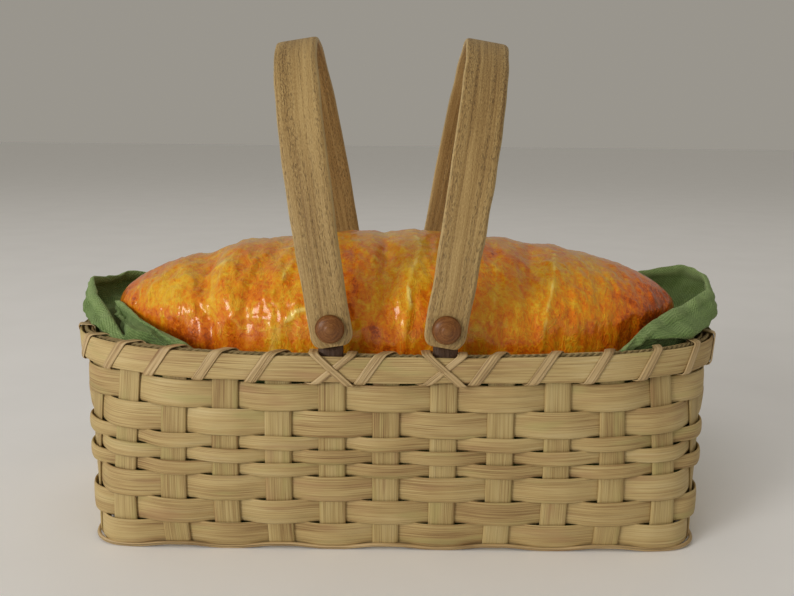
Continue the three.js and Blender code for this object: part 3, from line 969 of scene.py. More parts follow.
STAKE_REED = Reed(
    "stake_reed", middle=(0.40, 0.285, 0.115), light=(0.49, 0.37, 0.16), pale=(0.56, 0.45, 0.23)
)
WEAVER_REED = Reed("weaver_reed")
RIM_REED = Reed("rim_reed", light=(0.52, 0.385, 0.168), pale=(0.60, 0.475, 0.245), fibres_per_mm=1.6)
CANE = Cane("lashing_reed")
GRASS = Grass("filler_grass")

# Half a width so great that the finish finds no pale edge within it.
NO_PALE_EDGE = 99.0
# The ears' wood is the handles' bentwood made nearly black: painted shade for the dark gap under each peg.
SHADED_EAR_WOOD = Bentwood(
    "ear_wood", NO_PALE_EDGE, (0.03, 0.013, 0.005), (0.06, 0.026, 0.010), (0.09, 0.042, 0.017)
)
PEG_WOOD = Turned("peg_wood")
COTTON = Cloth("liner_cloth")
CRUST = Crust("crust")


def install(shape: Shape, name: str, finish: Finish, body: str, nodes: Sequence[str]) -> bpy.types.Object:
    """Makes a piece, gives it its finish and its body, and hides the solids that it stands for.

    Args:
        shape: the piece's shape.
        name: its name.
        finish: its finish.
        body: the body it moves with.
        nodes: the solids that it replaces.

    Returns:
        The piece.
    """
    piece = shape.to_object(name)
    piece.data.materials.append(material_of(finish))
    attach(piece, body)
    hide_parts(*nodes)
    LOG.info("%s: %d points, %s, on %s", name, len(shape.points), finish.slot, body)
    return piece


# ---- The wall's surface and where the upright reeds stand ----


@dataclass(frozen=True)
class Wall:
    """The basket's wall: a box with soft corners at the floor that flares to an oval at the rim."""

    base_half_length: float = 188.3
    length_flare: float = 19.4
    length_flare_power: float = 1.2
    rim_half_depth: float = 99.5
    depth_flare: float = 14.9
    depth_flare_height: float = 46.0
    base_squareness: float = 14.0
    rim_squareness: float = 2.66
    rim_top: float = 127.3
    lowest: int = -2
    highest: int = 172
    shares: int = 240

    def outline(self, z: Array | float) -> tuple[Array, Array, Array]:
        """Half-length, half-depth and squareness of the outline at a height.

        Args:
            z: the height.

        Returns:
            The three values.
        """
        rise = np.clip(np.asarray(z, float) / self.rim_top, 0, 1)
        a = self.base_half_length + self.length_flare * rise**self.length_flare_power
        b = self.rim_half_depth - self.depth_flare * np.exp(-np.asarray(z) / self.depth_flare_height)
        return a, b, 1 / mix(1 / self.base_squareness, 1 / self.rim_squareness, rise)

    @functools.cached_property
    def quarter(self) -> tuple[Array, Array, Array]:
        """One quarter of the outline, front middle to right end, at each millimetre of height.

        Returns:
            x and y at even shares of its length, and that length.
        """
        heights = np.arange(self.lowest, self.highest + 1)
        angle = np.linspace(0, np.pi / 2, self.shares + 1)
        s, c = np.sin(angle), np.maximum(np.cos(angle), 0)
        even = np.linspace(0, 1, self.shares + 1)
        xs, ys, lengths = [], [], []
        for a, b, n in zip(*self.outline(heights)):
            r = ((s / a) ** n + (c / b) ** n) ** (-1 / n)
            along = np.concatenate([[0], np.cumsum(np.hypot(np.diff(r * s), np.diff(r * c)))])
            xs.append(np.interp(even, along / along[-1], r * s))
            ys.append(np.interp(even, along / along[-1], r * c))
            lengths.append(along[-1])
        return np.array(xs), np.array(ys), np.array(lengths)

    def at(self, turn: Array | float, z: Array | float, out: Array | float) -> Array:
        """The points at a turn round the wall, a height up it and a distance out from it.

        Args:
            turn: how far round.
            z: the height.
            out: the distance out.

        Returns:
            The points, shape (..., 3).
        """
        turn, z, out = np.broadcast_arrays(*(np.asarray(v, float) for v in (turn, z, out)))
        turn = np.mod(turn, 4)
        whole = np.minimum(np.floor(turn), 3)
        part = np.where(whole % 2 == 1, 1 - (turn - whole), turn - whole)
        row = np.clip(z - self.lowest, 0, self.highest - self.lowest - SLIGHT)
        column = np.clip(part * self.shares, 0, self.shares - SLIGHT)
        i, j = row.astype(int), column.astype(int)
        across, up = column - j, row - i
        x, y = (
            mix(mix(g[i, j], g[i, j + 1], across), mix(g[i + 1, j], g[i + 1, j + 1], across), up)
            for g in self.quarter[:2]
        )
        a, b, n = self.outline(z)
        nx, ny = (x / a) ** (n - 1) / a, (np.maximum(y, 0) / b) ** (n - 1) / b
        size = np.hypot(nx, ny)
        sign_x = np.where(whole < 2, 1, -1)
        sign_y = np.where((whole == 1) | (whole == 2), 1, -1)
        return np.stack([sign_x * (x + nx / size * out), sign_y * (y + ny / size * out), z], -1)

    def turned(self, length: Array | float, z: float) -> Array | float:
        """A length along the wall as a part of a quarter turn, at a height."""
        return length / float(np.interp(z, np.arange(self.lowest, self.highest + 1), self.quarter[2]))


@dataclass(frozen=True)
class Spacing:
    """Where the upright reeds stand round the wall."""

    wall: Wall
    middle_x: float = -6.0
    left_pitch: float = 32.0
    right_pitch: float = 34.0
    end_pitch: float = 33.0
    per_side: int = 5
    per_end: int = 2

    @property
    def across(self) -> range:
        """The numbers of the reeds that cross the floor from front to back."""
        return range(-self.per_side, self.per_side + 1)

    @property
    def lengthwise(self) -> range:
        """The numbers of the reeds that run along the floor."""
        return range(-self.per_end, self.per_end + 1)

    def cross_x(self, k: int) -> float:
        """Where a cross reed lies along the basket."""
        return self.middle_x + k * (self.left_pitch if k < 0 else self.right_pitch)

    def long_y(self, j: int) -> float:
        """Where a long reed lies across the basket."""
        return j * self.end_pitch

    def front(self, x: float) -> float:
        """The turn of a place on the front, read at the floor."""
        xs = self.wall.quarter[0][-self.wall.lowest]
        return math.copysign(float(np.interp(abs(x), xs, np.linspace(0, 1, len(xs)))), x)

    def right(self, y: float) -> float:
        """The turn of a place on the right end, read at the floor.

        Args:
            y: the place, from front to back.

        Returns:
            The turn.
        """
        ys = self.wall.quarter[1][-self.wall.lowest]
        share = float(np.interp(-abs(y), -ys, np.linspace(0, 1, len(ys))))
        return share if y <= 0 else 2 - share

    @functools.cached_property
    def turns(self) -> Array:
        """The turns of the uprights.

        Returns:
            The turn of each in order round the wall, and of the first again after one turn.
        """
        front = [self.front(self.cross_x(k)) for k in self.across]
        right = [self.right(self.long_y(j)) for j in self.lengthwise]
        after = front[self.per_side :]
        back = [2 - turn for turn in reversed(front)]
        left = [4 - turn for turn in reversed(right)]
        before = [4 + turn for turn in front[: self.per_side]]
        return np.array([*after, *right, *back, *left, *before, after[0] + 4])


# ---- Reeds ----


@dataclass
class Uprights:
    """The flat reeds that cross the floor and stand up both walls."""

    wall: Wall
    spacing: Spacing
    width: float = 16.0
    wall_thickness: float = 1.9
    floor_thickness: float = 1.4
    top: float = 124.0
    top_under_ear: float = 111.4
    turn_height: float = 6.0
    floor_middle: float = 1.55
    floor_lift: float = 0.85
    floor_flat: float = 8.6
    floor_bend: float = 1.5
    floor_gap: float = 4.0
    bend_share: float = 0.12
    bend_points: int = 10
    wall_points: int = 60
    thickening: tuple[float, float] = (2.4, 9.0)
    squareness: float = 7.0
    seed_gap: float = 3.0
    long_seed: float = 50.0

    def edge_line(self, middle: float, first: int, top: float) -> list[Array]:
        """Both edges of a reed on the wall, from its top down to where it turns under.

        Args:
            middle: the turn of the reed's middle.
            first: 1 where the turn grows towards the second edge, -1 where it shrinks.
            top: the height of its top.

        Returns:
            The two edge lines.
        """
        heights = np.linspace(top, self.turn_height, self.wall_points)
        half = np.array([self.wall.turned(self.width / 2, z) for z in heights])
        return [self.wall.at(middle + side * half, heights, 0) for side in (-first, first)]

    def floor_line(self, marks: Sequence[float], over: Sequence[bool], reach: float) -> tuple[Array, Array]:
        """The reed's way across the floor, over and under what it crosses.

        Args:
            marks: where it crosses another reed.
            over: whether it lies on top there.
            reach: how far the floor goes either way.

        Returns:
            Places along it, and the heights there.
        """
        last = reach - self.floor_gap
        place = np.linspace(-last, last, int(reach))
        ends = reach + self.floor_flat
        levels = self.floor_middle + np.where(over, self.floor_lift, -self.floor_lift)
        levels = np.concatenate([[self.floor_middle], levels, [self.floor_middle]])
        return place, over_under(place, np.array([-ends, *marks, ends]), levels, self.floor_flat)

    def bend(self, above: Array, below: Array) -> Array:
        """The turn from a wall to the floor, between the lines' nearest points.

        Args:
            above: the wall line's last point.
            below: the floor line's nearest point.

        Returns:
            The points between them.
        """
        t = np.linspace(0, 1, self.bend_points)[1:-1, None]
        corner = np.array([*mix(above, below, self.bend_share)[:2], below[2]])
        return curve(above, corner, below, t)

    def reed(self, starts: Sequence[list[Array]], floor: Sequence[Array], seed: float) -> Shape:
        """One whole reed, from one rim across the floor to the other.

        Args:
            starts: the edge lines of its two ends, both from the top down.
            floor: its two edge lines on the floor.
            seed: its own number.

        Returns:
            The reed as a shape.
        """
        edges = []
        for first, level, last in zip(starts[0], floor, starts[1]):
            parts = [first, self.bend(first[-1], level[0]), level]
            parts += [self.bend(last[-1], level[-1])[::-1], last[::-1]]
            edges.append(np.concatenate(parts))
        share = step(*self.thickening, edges[0][:, 2])
        thickness = mix(self.floor_thickness, self.wall_thickness, share)
        return ribbon(*edges, thickness, False, self.squareness, seed)

    def build(self) -> None:
        """Makes every upright."""
        spacing, half = self.spacing, self.width / 2
        for k in spacing.across:
            x = spacing.cross_x(k)
            top = self.top_under_ear if abs(k) == 1 else self.top
            front = spacing.front(x)
            starts = [self.edge_line(front, 1, top), self.edge_line(2 - front, -1, top)]
            marks = [spacing.long_y(j) for j in spacing.lengthwise]
            over = [(k + j) % 2 == 0 for j in spacing.lengthwise]
            place, height = self.floor_line(marks, over, self.wall.outline(0)[1] - self.floor_bend)
            floor = [np.stack([place * 0 + x + s, place, height], -1) for s in (-half, half)]
            number = k + spacing.per_side + 1
            shape = self.reed(starts, floor, self.seed_gap * number)
            install(shape, f"upright_reed_across_{number}", STAKE_REED, BASKET, [f"stake_across_{number}"])
        for j in spacing.lengthwise:
            y = spacing.long_y(j)
            right = spacing.right(y)
            starts = [self.edge_line(4 - right, -1, self.top), self.edge_line(right, 1, self.top)]
            marks = [spacing.cross_x(k) for k in spacing.across]
            over = [(k + j) % 2 == 1 for k in spacing.across]
            place, height = self.floor_line(marks, over, self.wall.outline(0)[0] - self.floor_bend)
            floor = [np.stack([place, place * 0 + y + s, height], -1) for s in (-half, half)]
            number = j + spacing.per_end + 1
            shape = self.reed(starts, floor, self.long_seed + self.seed_gap * number)
            install(shape, f"upright_reed_long_{number}", STAKE_REED, BASKET, [f"stake_long_{number}"])


class Row(Enum):
    """A row of weaving.

    Its sizes are the reed's width, how far apart such rows lie, the reed's thickness, how flat its
    faces are, how much narrower it is where it dives and how far it bows out.
    """

    WIDE = (16.7, 16.2, 1.9, 3.2, 0.0, 2.05)
    NARROW = (9.3, 8.6, 2.2, 2.4, 0.06, 2.3)

    def __init__(self, *sizes: float) -> None:
        """Names the row's sizes, in the order that the class gives."""
        self.width, self.pitch, self.thickness = sizes[:3]
        self.squareness, self.pinch, self.bow = sizes[3:]


@dataclass
class Weaving:
    """The eight rows of reed that pass over one upright and under the next."""

    wall: Wall
    spacing: Spacing
    rows: tuple[Row, ...] = (Row.WIDE,) * 2 + (Row.NARROW,) * 3 + (Row.WIDE,) * 3
    first_top: float = 109.9
    flat: float = 3.0
    seam: int = 15
    points: int = 480
    rise_seed: int = 11
    rise_swing: float = 0.22
    rise_waves: int = 14
    out_seed: int = 31
    out_swing: float = 0.12
    out_waves: int = 18
    first_seed: float = 100.0
    seed_gap: int = 7

    def row(self, number: int, top: float) -> Shape:
        """One row.

        Args:
            number: counted from the rim, from 0.
            top: the height of its upper edge.

        Returns:
            The row as a shape.
        """
        kind = self.rows[number]
        marks = self.spacing.turns
        back = marks[self.seam + number % 2]
        turn = marks[0] + np.mod(back - marks[0] + np.linspace(0, 4, self.points, endpoint=False), 4)
        outside = (np.arange(len(marks)) + number) % 2 == 0
        levels = np.where(outside, kind.bow, -kind.bow)
        height = top - kind.width / 2
        out = over_under(turn, marks, levels, self.wall.turned(self.flat, height))
        share = (turn - marks[0]) / 4
        half = kind.width / 2 * (1 - kind.pinch * (1 - (out / kind.bow) ** 2))
        centre = height + waver(share, self.rise_seed + number, self.rise_swing, self.rise_waves)
        out = out + waver(share, self.out_seed + number, self.out_swing, self.out_waves)
        edges = [self.wall.at(turn, centre + side * half, out) for side in (-1, 1)]
        seed = self.first_seed + self.seed_gap * number
        return ribbon(*edges, kind.thickness, True, kind.squareness, seed)

    def build(self) -> None:
        """Makes every row, from the rim down."""
        top = self.first_top
        for number, kind in enumerate(self.rows):
            name = f"weaver_reed_{number + 1}"
            install(self.row(number, top), name, WEAVER_REED, BASKET, [f"weaver_{number + 1}"])
            following = self.rows[min(number + 1, len(self.rows) - 1)]
            top -= kind.pitch + (kind.width - kind.pitch - following.width + following.pitch) / 2


@dataclass
class Foot:
    """The thin round strand at the foot, low under each bow of the last row and high between."""

    wall: Wall
    spacing: Spacing
    low: float = 1.35
    high: float = 3.3
    radius: float = 1.2
    out: float = 1.9
    dip: float = 1.5
    flat: float = 4.0
    seam: int = 16
    points: int = 420
    sides: int = 12
    seed: float = 5.0

    def build(self) -> None:
        """Makes the strand."""
        marks = self.spacing.turns
        bowed = np.arange(len(marks)) % 2 == 1
        share = np.linspace(0, 4, self.points, endpoint=False)
        turn = marks[0] + np.mod(marks[self.seam] - marks[0] + share, 4)
        flat = self.wall.turned(self.flat, self.high)
        out = over_under(turn, marks, np.where(bowed, self.out, self.dip), flat)
        height = over_under(turn, marks, np.where(bowed, self.low, self.high), flat)
        centre = self.wall.at(turn, height, out)
        side = self.wall.at(turn, height, out + 1) - centre
        shape = strand(centre, side, self.radius, self.sides, True, self.seed)
        install(shape, "foot_reed", CANE, BASKET, ["foot_strand"])


# ---- Rim ----


@dataclass
class Rim:
    """Two flat bands with a twisted grass filler between them, lashed with one long cane strip."""

    wall: Wall
    spacing: Spacing
    bottom: float = 111.8
    top: float = 127.3
    outer: float = 3.2
    inner: float = -3.7
    thickness: float = 2.2
    squareness: float = 5.0
    points: int = 420
    face_points: int = 11
    edge_seed: int = 51
    edge_swing: float = 0.25
    edge_waves: int = 9
    band_seed: float = 200.0
    filler_height: float = 126.9
    filler_out: float = -0.2
    ply_radius: float = 0.8
    ply_offset: float = 0.6
    ply_pitch: float = 8.5
    ply_step: float = 0.9
    ply_sides: int = 8
    ply_swell: Swell = Swell(11.0, 2, 7, 0.14)
    ply_seed_gap: float = 40.0
    filler_seed: float = 300.0
    filler_seed_gap: float = 11.0
    filler_gap: float = 9.0
    ear_uprights: tuple[int, ...] = (1, 15, 17, 31)
    fillers: tuple[str, ...] = ("right", "back", "left", "front")
    lash_thickness: float = 0.9
    lash_width: float = 7.0
    cross_width: float = 6.0
    lash_low: float = 110.9
    lash_high: float = 128.8
    lash_bend: float = 2.4
    first_lash: int = 16
    lead: tuple[float, ...] = (0, 12, 18, 30)
    ear_lead: tuple[float, ...] = (6.2, 27.0, 27.4, 31.6)
    cross_lead: tuple[float, ...] = (10.5, -10.2, -10.6, 10.3)
    cross_rise: float = 0.7
    cross_drop: float = 0.9
    lash_gap: float = 0.05
    lash_step: float = 1.5
    lash_bend_points: int = 7
    lash_squareness: float = 3.0
    lash_seed: float = 5.0
    cross_seed: float = 9.0

    def band(self, out: float, seed: int) -> Shape:
        """A flat band round the wall.

        Args:
            out: how far out its middle lies.
            seed: which unevenness.

        Returns:
            The band as a shape.
        """
        share = np.linspace(0, 1, self.points, endpoint=False)
        edges = []
        for height, number in ((self.bottom, 0), (self.top, 1)):
            uneven = self.edge_seed + 2 * seed + number
            z = height + waver(share, uneven, self.edge_swing, self.edge_waves)
            edges.append(self.wall.at(2 + 4 * share, z, out))
        own = self.band_seed + seed
        return ribbon(*edges, self.thickness, True, self.squareness, own, self.face_points)

    def filler(self, start: float, end: float, seed: float) -> Shape:
        """A stretch of two-ply cord along the rim.

        Args:
            start: the turn it starts at.
            end: the turn it ends at.
            seed: its own number.

        Returns:
            Both plies as one shape.
        """
        length = (end - start) / self.wall.turned(1.0, self.top)
        along = np.linspace(0, length, int(length / self.ply_step))
        turn = mix(start, end, along / length)
        swell = 1 + self.ply_swell.at(np.stack([along, along * 0, along * 0 + seed], -1))
        plies = []
        for number in (0, 1):
            angle = 2 * np.pi * along / self.ply_pitch + np.pi * number
            out = self.filler_out + self.ply_offset * swell * np.cos(angle)
            height = self.filler_height + self.ply_offset * swell * np.sin(angle)
            centre = self.wall.at(turn, height, out)
            side = self.wall.at(turn, height, out + 1) - centre
            own = seed + self.ply_seed_gap * number
            plies.append(strand(centre, side, self.ply_radius, self.ply_sides, False, own))
        return Shape.joined(plies)

    def strip(self, path: Array, seed: float) -> Shape:
        """The lashing strip along a path whose end meets its start.

        Args:
            path: its corners: distance along the rim, height, distance out and width.
            seed: its own number.

        Returns:
            The strip as a shape.
        """
        even = evenly(rounded(path, self.lash_bend, self.lash_bend_points), self.lash_step)[:-1]
        along, height, out, width = even.T
        edges = []
        for side in (-1, 1):
            turn = self.wall.turned(along + side * width / 2, self.top)
            edges.append(self.wall.at(turn, height, out))
        return ribbon(*edges, self.lash_thickness, True, self.lash_squareness, seed)

    def corners(self, start: float, lead: Sequence[float], width: float, rise: float) -> Array:
        """The four corners of one turn of lashing.

        Args:
            start: where it starts, in millimetres along the rim.
            lead: how far along the rim each corner lies from there.
            width: the strip's width along the rim.
            rise: how far it stands off what it wraps.

        Returns:
            The corners: along, up, out and width.
        """
        off = self.thickness / 2 + self.lash_thickness / 2 + self.lash_gap + rise
        outs = (self.outer + off, self.outer + off, self.inner - off, self.inner - off)
        low, high = self.lash_low - self.cross_drop * (rise > 0), self.lash_high + rise
        return np.array([[start + s, z, d, width] for s, z, d in zip(lead, (low, high, high, low), outs)])

    def lashing(self) -> Shape:
        """The whole lashing: a turn in each gap, and a crossing turn at each ear.

        Returns:
            Its strips as one shape.
        """
        marks = self.spacing.turns
        length = 1 / self.wall.turned(1.0, self.top)
        turns = []
        count = len(marks) - 1
        for gap in range(self.first_lash, self.first_lash + count):
            i = gap % count
            over_ear = (i + 1) % count in self.ear_uprights
            start = ((marks[i] + marks[i + 1]) / 2 + 4 * (gap // count)) * length
            lead, width = (self.ear_lead, self.cross_width) if over_ear else (self.lead, self.lash_width)
            turns.append(self.corners(start, lead, width, 0.0))
        path = np.concatenate(turns)
        begin = (path[0] + path[1]) / 2
        once_round = np.array([4 * length, 0, 0, 0])
        whole = [begin, *path[1:], path[0] + once_round, begin + once_round]
        strips = [self.strip(np.array(whole), self.lash_seed)]
        for number in self.ear_uprights:
            turn = self.corners(marks[number] * length, self.cross_lead, self.cross_width, self.cross_rise)
            middle = (turn[0] + turn[1]) / 2
            crossing = np.array([middle, *turn[1:], turn[0], middle])
            strips.append(self.strip(crossing, self.cross_seed * number))
        return Shape.joined(strips)

    def build(self) -> None:
        """Makes the bands, the fillers and the lashing."""
        install(self.band(self.outer, 0), "rim_band_outer", RIM_REED, BASKET, ["rim_outer"])
        install(self.band(self.inner, 1), "rim_band_inner", RIM_REED, BASKET, ["rim_inner"])
        marks = self.spacing.turns
        gap = self.wall.turned(self.filler_gap, self.top)
        for number, name in enumerate(self.fillers):
            first, last = (self.ear_uprights[(number + n) % len(self.fillers)] for n in (0, 1))
            end = marks[last] + (4 if last < first else 0) - gap
            seed = self.filler_seed + self.filler_seed_gap * number
            shape = self.filler(marks[first] + gap, end, seed)
            install(shape, f"grass_cord_{name}", GRASS, BASKET, [f"filler_{name}"])
        install(self.lashing(), "lashing_cane", CANE, BASKET, ["lashing"])


# ---- Handles and what carries them ----


class Side(Enum):
    """The two long sides."""

    FRONT = -1
    BACK = 1


class End(Enum):
    """The two ends: the number of the upright whose place the ears take, and how a handle leans."""

    LEFT = -1
    RIGHT = 1


@dataclass
class Fittings:
    """The ears that stand in the rim and the mushroom-headed pegs through them."""

    spacing: Spacing
    peg_height: float = 144.3
    ear_half_width: float = 7.2
    ear_inner: float = 96.2
    ear_outer: float = 99.4
    ear_bottom: float = 112.2
    ear_bevel: float = 0.6
    ear_bevel_share: float = 0.3
    ear_seed: float = 3.0
    hole_radius: float = 3.95
    shank_radius: float = 3.5
    shank_bevel: float = 0.5
    end_radius: float = 0.01
    peg_tail: float = 94.6
    head_inner: float = 104.1
    neck: float = 0.2
    head_radius: float = 8.4
    head_bevel: tuple[tuple[float, float], ...] = ((1.2, 0.0), (0.35, 0.25))
    head_depth: float = 5.7
    brim: float = 0.9
    dome: tuple[float, float] = (0.97, 0.34)
    dome_rings: int = 12
    dome_power: float = 2.2
    nub_radius: float = 2.6
    nub_height: float = 0.5
    nub_shares: tuple[float, ...] = (1.0, 0.8, 0.5, 0.2)
    peg_seed: float = 4.0
    sides: int = 64

    def ear(self) -> Shape:
        """A tab with a round top and a hole, standing in X and Z with its hole at the origin.

        Returns:
            The tab as a shape.
        """
        angle = circle(self.sides)
        c, s = np.cos(angle), np.sin(angle)
        drop = self.peg_height - self.ear_bottom
        box = np.minimum(self.ear_half_width / np.maximum(np.abs(c), TINY), drop / np.maximum(-s, TINY))
        outline = np.where(s >= 0, self.ear_half_width, box)
        half, bevel = (self.ear_outer - self.ear_inner) / 2, self.ear_bevel
        soft = self.ear_bevel_share * bevel
        profile = [
            (self.hole_radius + 0 * c, -half),
            (outline - bevel, -half),
            (outline - soft, -half + soft),
            (outline, -half + bevel),
            (outline, half - bevel),
            (outline - soft, half - soft),
            (outline - bevel, half),
            (self.hole_radius + 0 * c, half),
        ]
        points = np.stack([np.stack([r * c, 0 * c + y, r * s], -1) for r, y in profile])
        surface = np.stack([points[..., 2], points[..., 0], 0 * points[..., 0] + self.ear_seed], -1)
        faces = [grid_faces(len(profile), self.sides, True, True)]
        return Shape(points.reshape(-1, 3), faces, surface.reshape(-1, 3))

    def peg(self) -> Shape:
        """A peg along +Y from its tail at the origin: a shank and a domed head with a small nub.

        Returns:
            The peg as a shape.
        """
        head = self.head_inner - self.peg_tail
        top = head + self.head_depth
        profile = [(self.end_radius, 0.0), (self.shank_radius - self.shank_bevel, 0.0)]
        profile += [(self.shank_radius, self.shank_bevel), (self.shank_radius, head + self.neck)]
        profile += [(self.head_radius - short, head + over) for short, over in self.head_bevel]
        profile.append((self.head_radius, head + self.brim))
        rise = self.head_depth - self.nub_height - self.brim
        for radius in self.head_radius * np.linspace(*self.dome, self.dome_rings):
            arc = math.sqrt(1 - (radius / self.head_radius) ** self.dome_power)
            profile.append((radius, head + self.brim + rise * arc))
        for share in self.nub_shares:
            radius = self.nub_radius * share
            profile.append((radius, top - self.nub_height * share**2))
        profile.append((self.end_radius, top))
        angle = circle(self.sides)
        rings, marks = [], []
        for radius, y in profile:
            rings.append(np.stack([radius * np.cos(angle), 0 * angle + y, radius * np.sin(angle)], -1))
            marks.append(np.stack([0 * angle + radius, angle * radius, 0 * angle + self.peg_seed], -1))
        faces = tube_faces(len(rings), self.sides, False)
        return Shape(np.concatenate(rings), faces, np.concatenate(marks))

    def build(self) -> None:
        """Makes the four ears and the four pegs."""
        for end, side in itertools.product(End, Side):
            x = self.spacing.cross_x(end.value)
            name = f"{end.name.lower()}_{side.name.lower()}"
            middle = side.value * (self.ear_inner + self.ear_outer) / 2
            ear = self.ear().placed(Matrix.Translation((x, middle, self.peg_height)))
            install(ear, f"handle_ear_{name}", SHADED_EAR_WOOD, BASKET, [f"ear_{name}"])
            at = Matrix.Translation((x, side.value * self.peg_tail, self.peg_height))
            facing = Matrix.Rotation(math.pi if side is Side.FRONT else 0, 4, "Z")
            install(self.peg().placed(at @ facing), f"turned_peg_{name}", PEG_WOOD, BASKET, [f"peg_{name}"])


@dataclass
class Handles:
    """The two bent straps that swing on the pegs."""

    fittings: Fittings
    half_span: float = 101.8
    rise: float = 168.6
    roundness: float = 1.87
    top_width: float = 27.0
    foot_width: float = 24.2
    thickness: float = 3.8
    below_peg: float = 11.0
    end_width: float = 13.0
    end_length: float = 8.0
    lean_degrees: float = 9.5
    hoop_points: int = 220
    leg_points: int = 14
    point_gap: float = 2.2
    full_width_from: float = 0.7
    edge_wear: float = 0.22
    wear_waves: int = 9
    wear_seed: int = 71
    wear_seed_gap: int = 10
    squareness: float = 16.0
    face_points: int = 15
    end_thins_to: tuple[float, float] = (0.45, 0.8)
    first_seed: float = 400.0
    drill_sides: int = 48
    drill_reach: float = 1.3

    def line(self) -> Array:
        """The middle of the strap, from one end to the other.

        Returns:
            Its points: distance across and height over the pegs.
        """
        power = 2 / self.roundness
        angle = np.linspace(0, np.pi, self.hoop_points)
        c, s = np.cos(angle), np.maximum(np.sin(angle), 0)
        across = -np.sign(c) * self.half_span * np.abs(c) ** power
        hoop = np.stack([across, self.rise * s**power, 0 * c], -1)
        leg = self.below_peg * (1 - np.linspace(0, 1, self.leg_points)[:-1] ** 2)
        left = np.stack([0 * leg - self.half_span, -leg], -1)
        return np.concatenate([left, evenly(hoop, self.point_gap)[:, :2], (left * (-1, 1))[::-1]])

    def strap(self, seed: int) -> Shape:
        """One strap with its pivot axis along Y through the origin.

        Args:
            seed: which unevenness.

        Returns:
            The strap as a shape.
        """
        line = self.line()
        part = np.clip((line[:, 1] + self.below_peg) / self.end_length, 0, 1)
        widened = step(0, self.full_width_from * self.rise, line[:, 1])
        width = mix(self.foot_width, self.top_width, widened)
        half = mix(self.end_width, width, np.sqrt(1 - (1 - part) ** 2)) / 2
        share = np.linspace(0, 1, len(line))
        edges = []
        for side in (-1, 1):
            reach = side * (half + waver(share, seed + side, self.edge_wear, self.wear_waves))
            edges.append(np.stack([reach, line[:, 0], line[:, 1]], -1))
        soft = np.ones(len(line))
        soft[[0, -1]], soft[[1, -2]] = self.end_thins_to
        own = self.first_seed + seed
        strap = ribbon(*edges, self.thickness * soft, False, self.squareness, own, self.face_points)
        strap.surface[:, 1] *= np.repeat(self.top_width / 2 / half, len(strap.points) // len(line))
        return strap

    def drill(self, piece: bpy.types.Object, shape: Shape, place: Matrix) -> None:
        """Cuts the two peg holes and gives the cut mesh its surface coordinates back.

        Args:
            piece: the strap.
            shape: the shape it was made from.
            place: the pivot's place and lean, in millimetres.
        """
        reach = self.drill_reach * self.half_span
        angle = circle(self.drill_sides)
        c, s = self.fittings.hole_radius * np.cos(angle), self.fittings.hole_radius * np.sin(angle)
        rings = [np.stack([c, 0 * angle + y, s], -1) for y in (-reach, reach)]
        faces = tube_faces(len(rings), self.drill_sides, False)
        points = np.concatenate(rings)
        drill = Shape(points, faces, 0 * points).placed(place).to_object("drill")
        cut = piece.modifiers.new("peg_holes", "BOOLEAN")
        cut.operation, cut.solver, cut.object = "DIFFERENCE", "EXACT", drill
        graph = bpy.context.evaluated_depsgraph_get()
        drilled = bpy.data.meshes.new_from_object(piece.evaluated_get(graph))
        piece.modifiers.clear()
        piece.data = drilled
        bpy.data.objects.remove(drill)
        tree = KDTree(len(shape.points))
        for i, point in enumerate(shape.points * MM):
            tree.insert(point, i)
        tree.balance()
        nearest = [tree.find(vertex.co)[1] for vertex in drilled.vertices]
        write_surface(drilled, shape.surface[nearest])

    def build(self) -> None:
        """Makes both handles, each leaning a little outward."""
        finish = Bentwood("handle_wood", self.top_width / 2)
        for end in End:
            lean = Matrix.Rotation(math.radians(end.value * self.lean_degrees), 4, "Y")
            x = self.fittings.spacing.cross_x(end.value)
            place = Matrix.Translation((x, 0, self.fittings.peg_height)) @ lean
            name = f"handle_{end.name.lower()}"
            shape = self.strap(self.wear_seed + self.wear_seed_gap * end.value).placed(place)
            self.drill(install(shape, f"bent_{name}", finish, name, [name]), shape, place)


# ---- Loaf ----


@dataclass(frozen=True)
class Score:
    """A score or burst across the crust, as someone slashed it: it may bow and slant."""

    at: float
    slant: float
    bow: float
    half_width: float
    depth: float


@dataclass(frozen=True)
class Seam:
    """A line on the crust through places along it and degrees from its crown to the front."""

    line: tuple[tuple[float, float], ...]
    half_width: float
    rise: float
    pale: float = 0.0
    shaded_hollow: float = 0.0
    baked_and_shade: float = 0.0


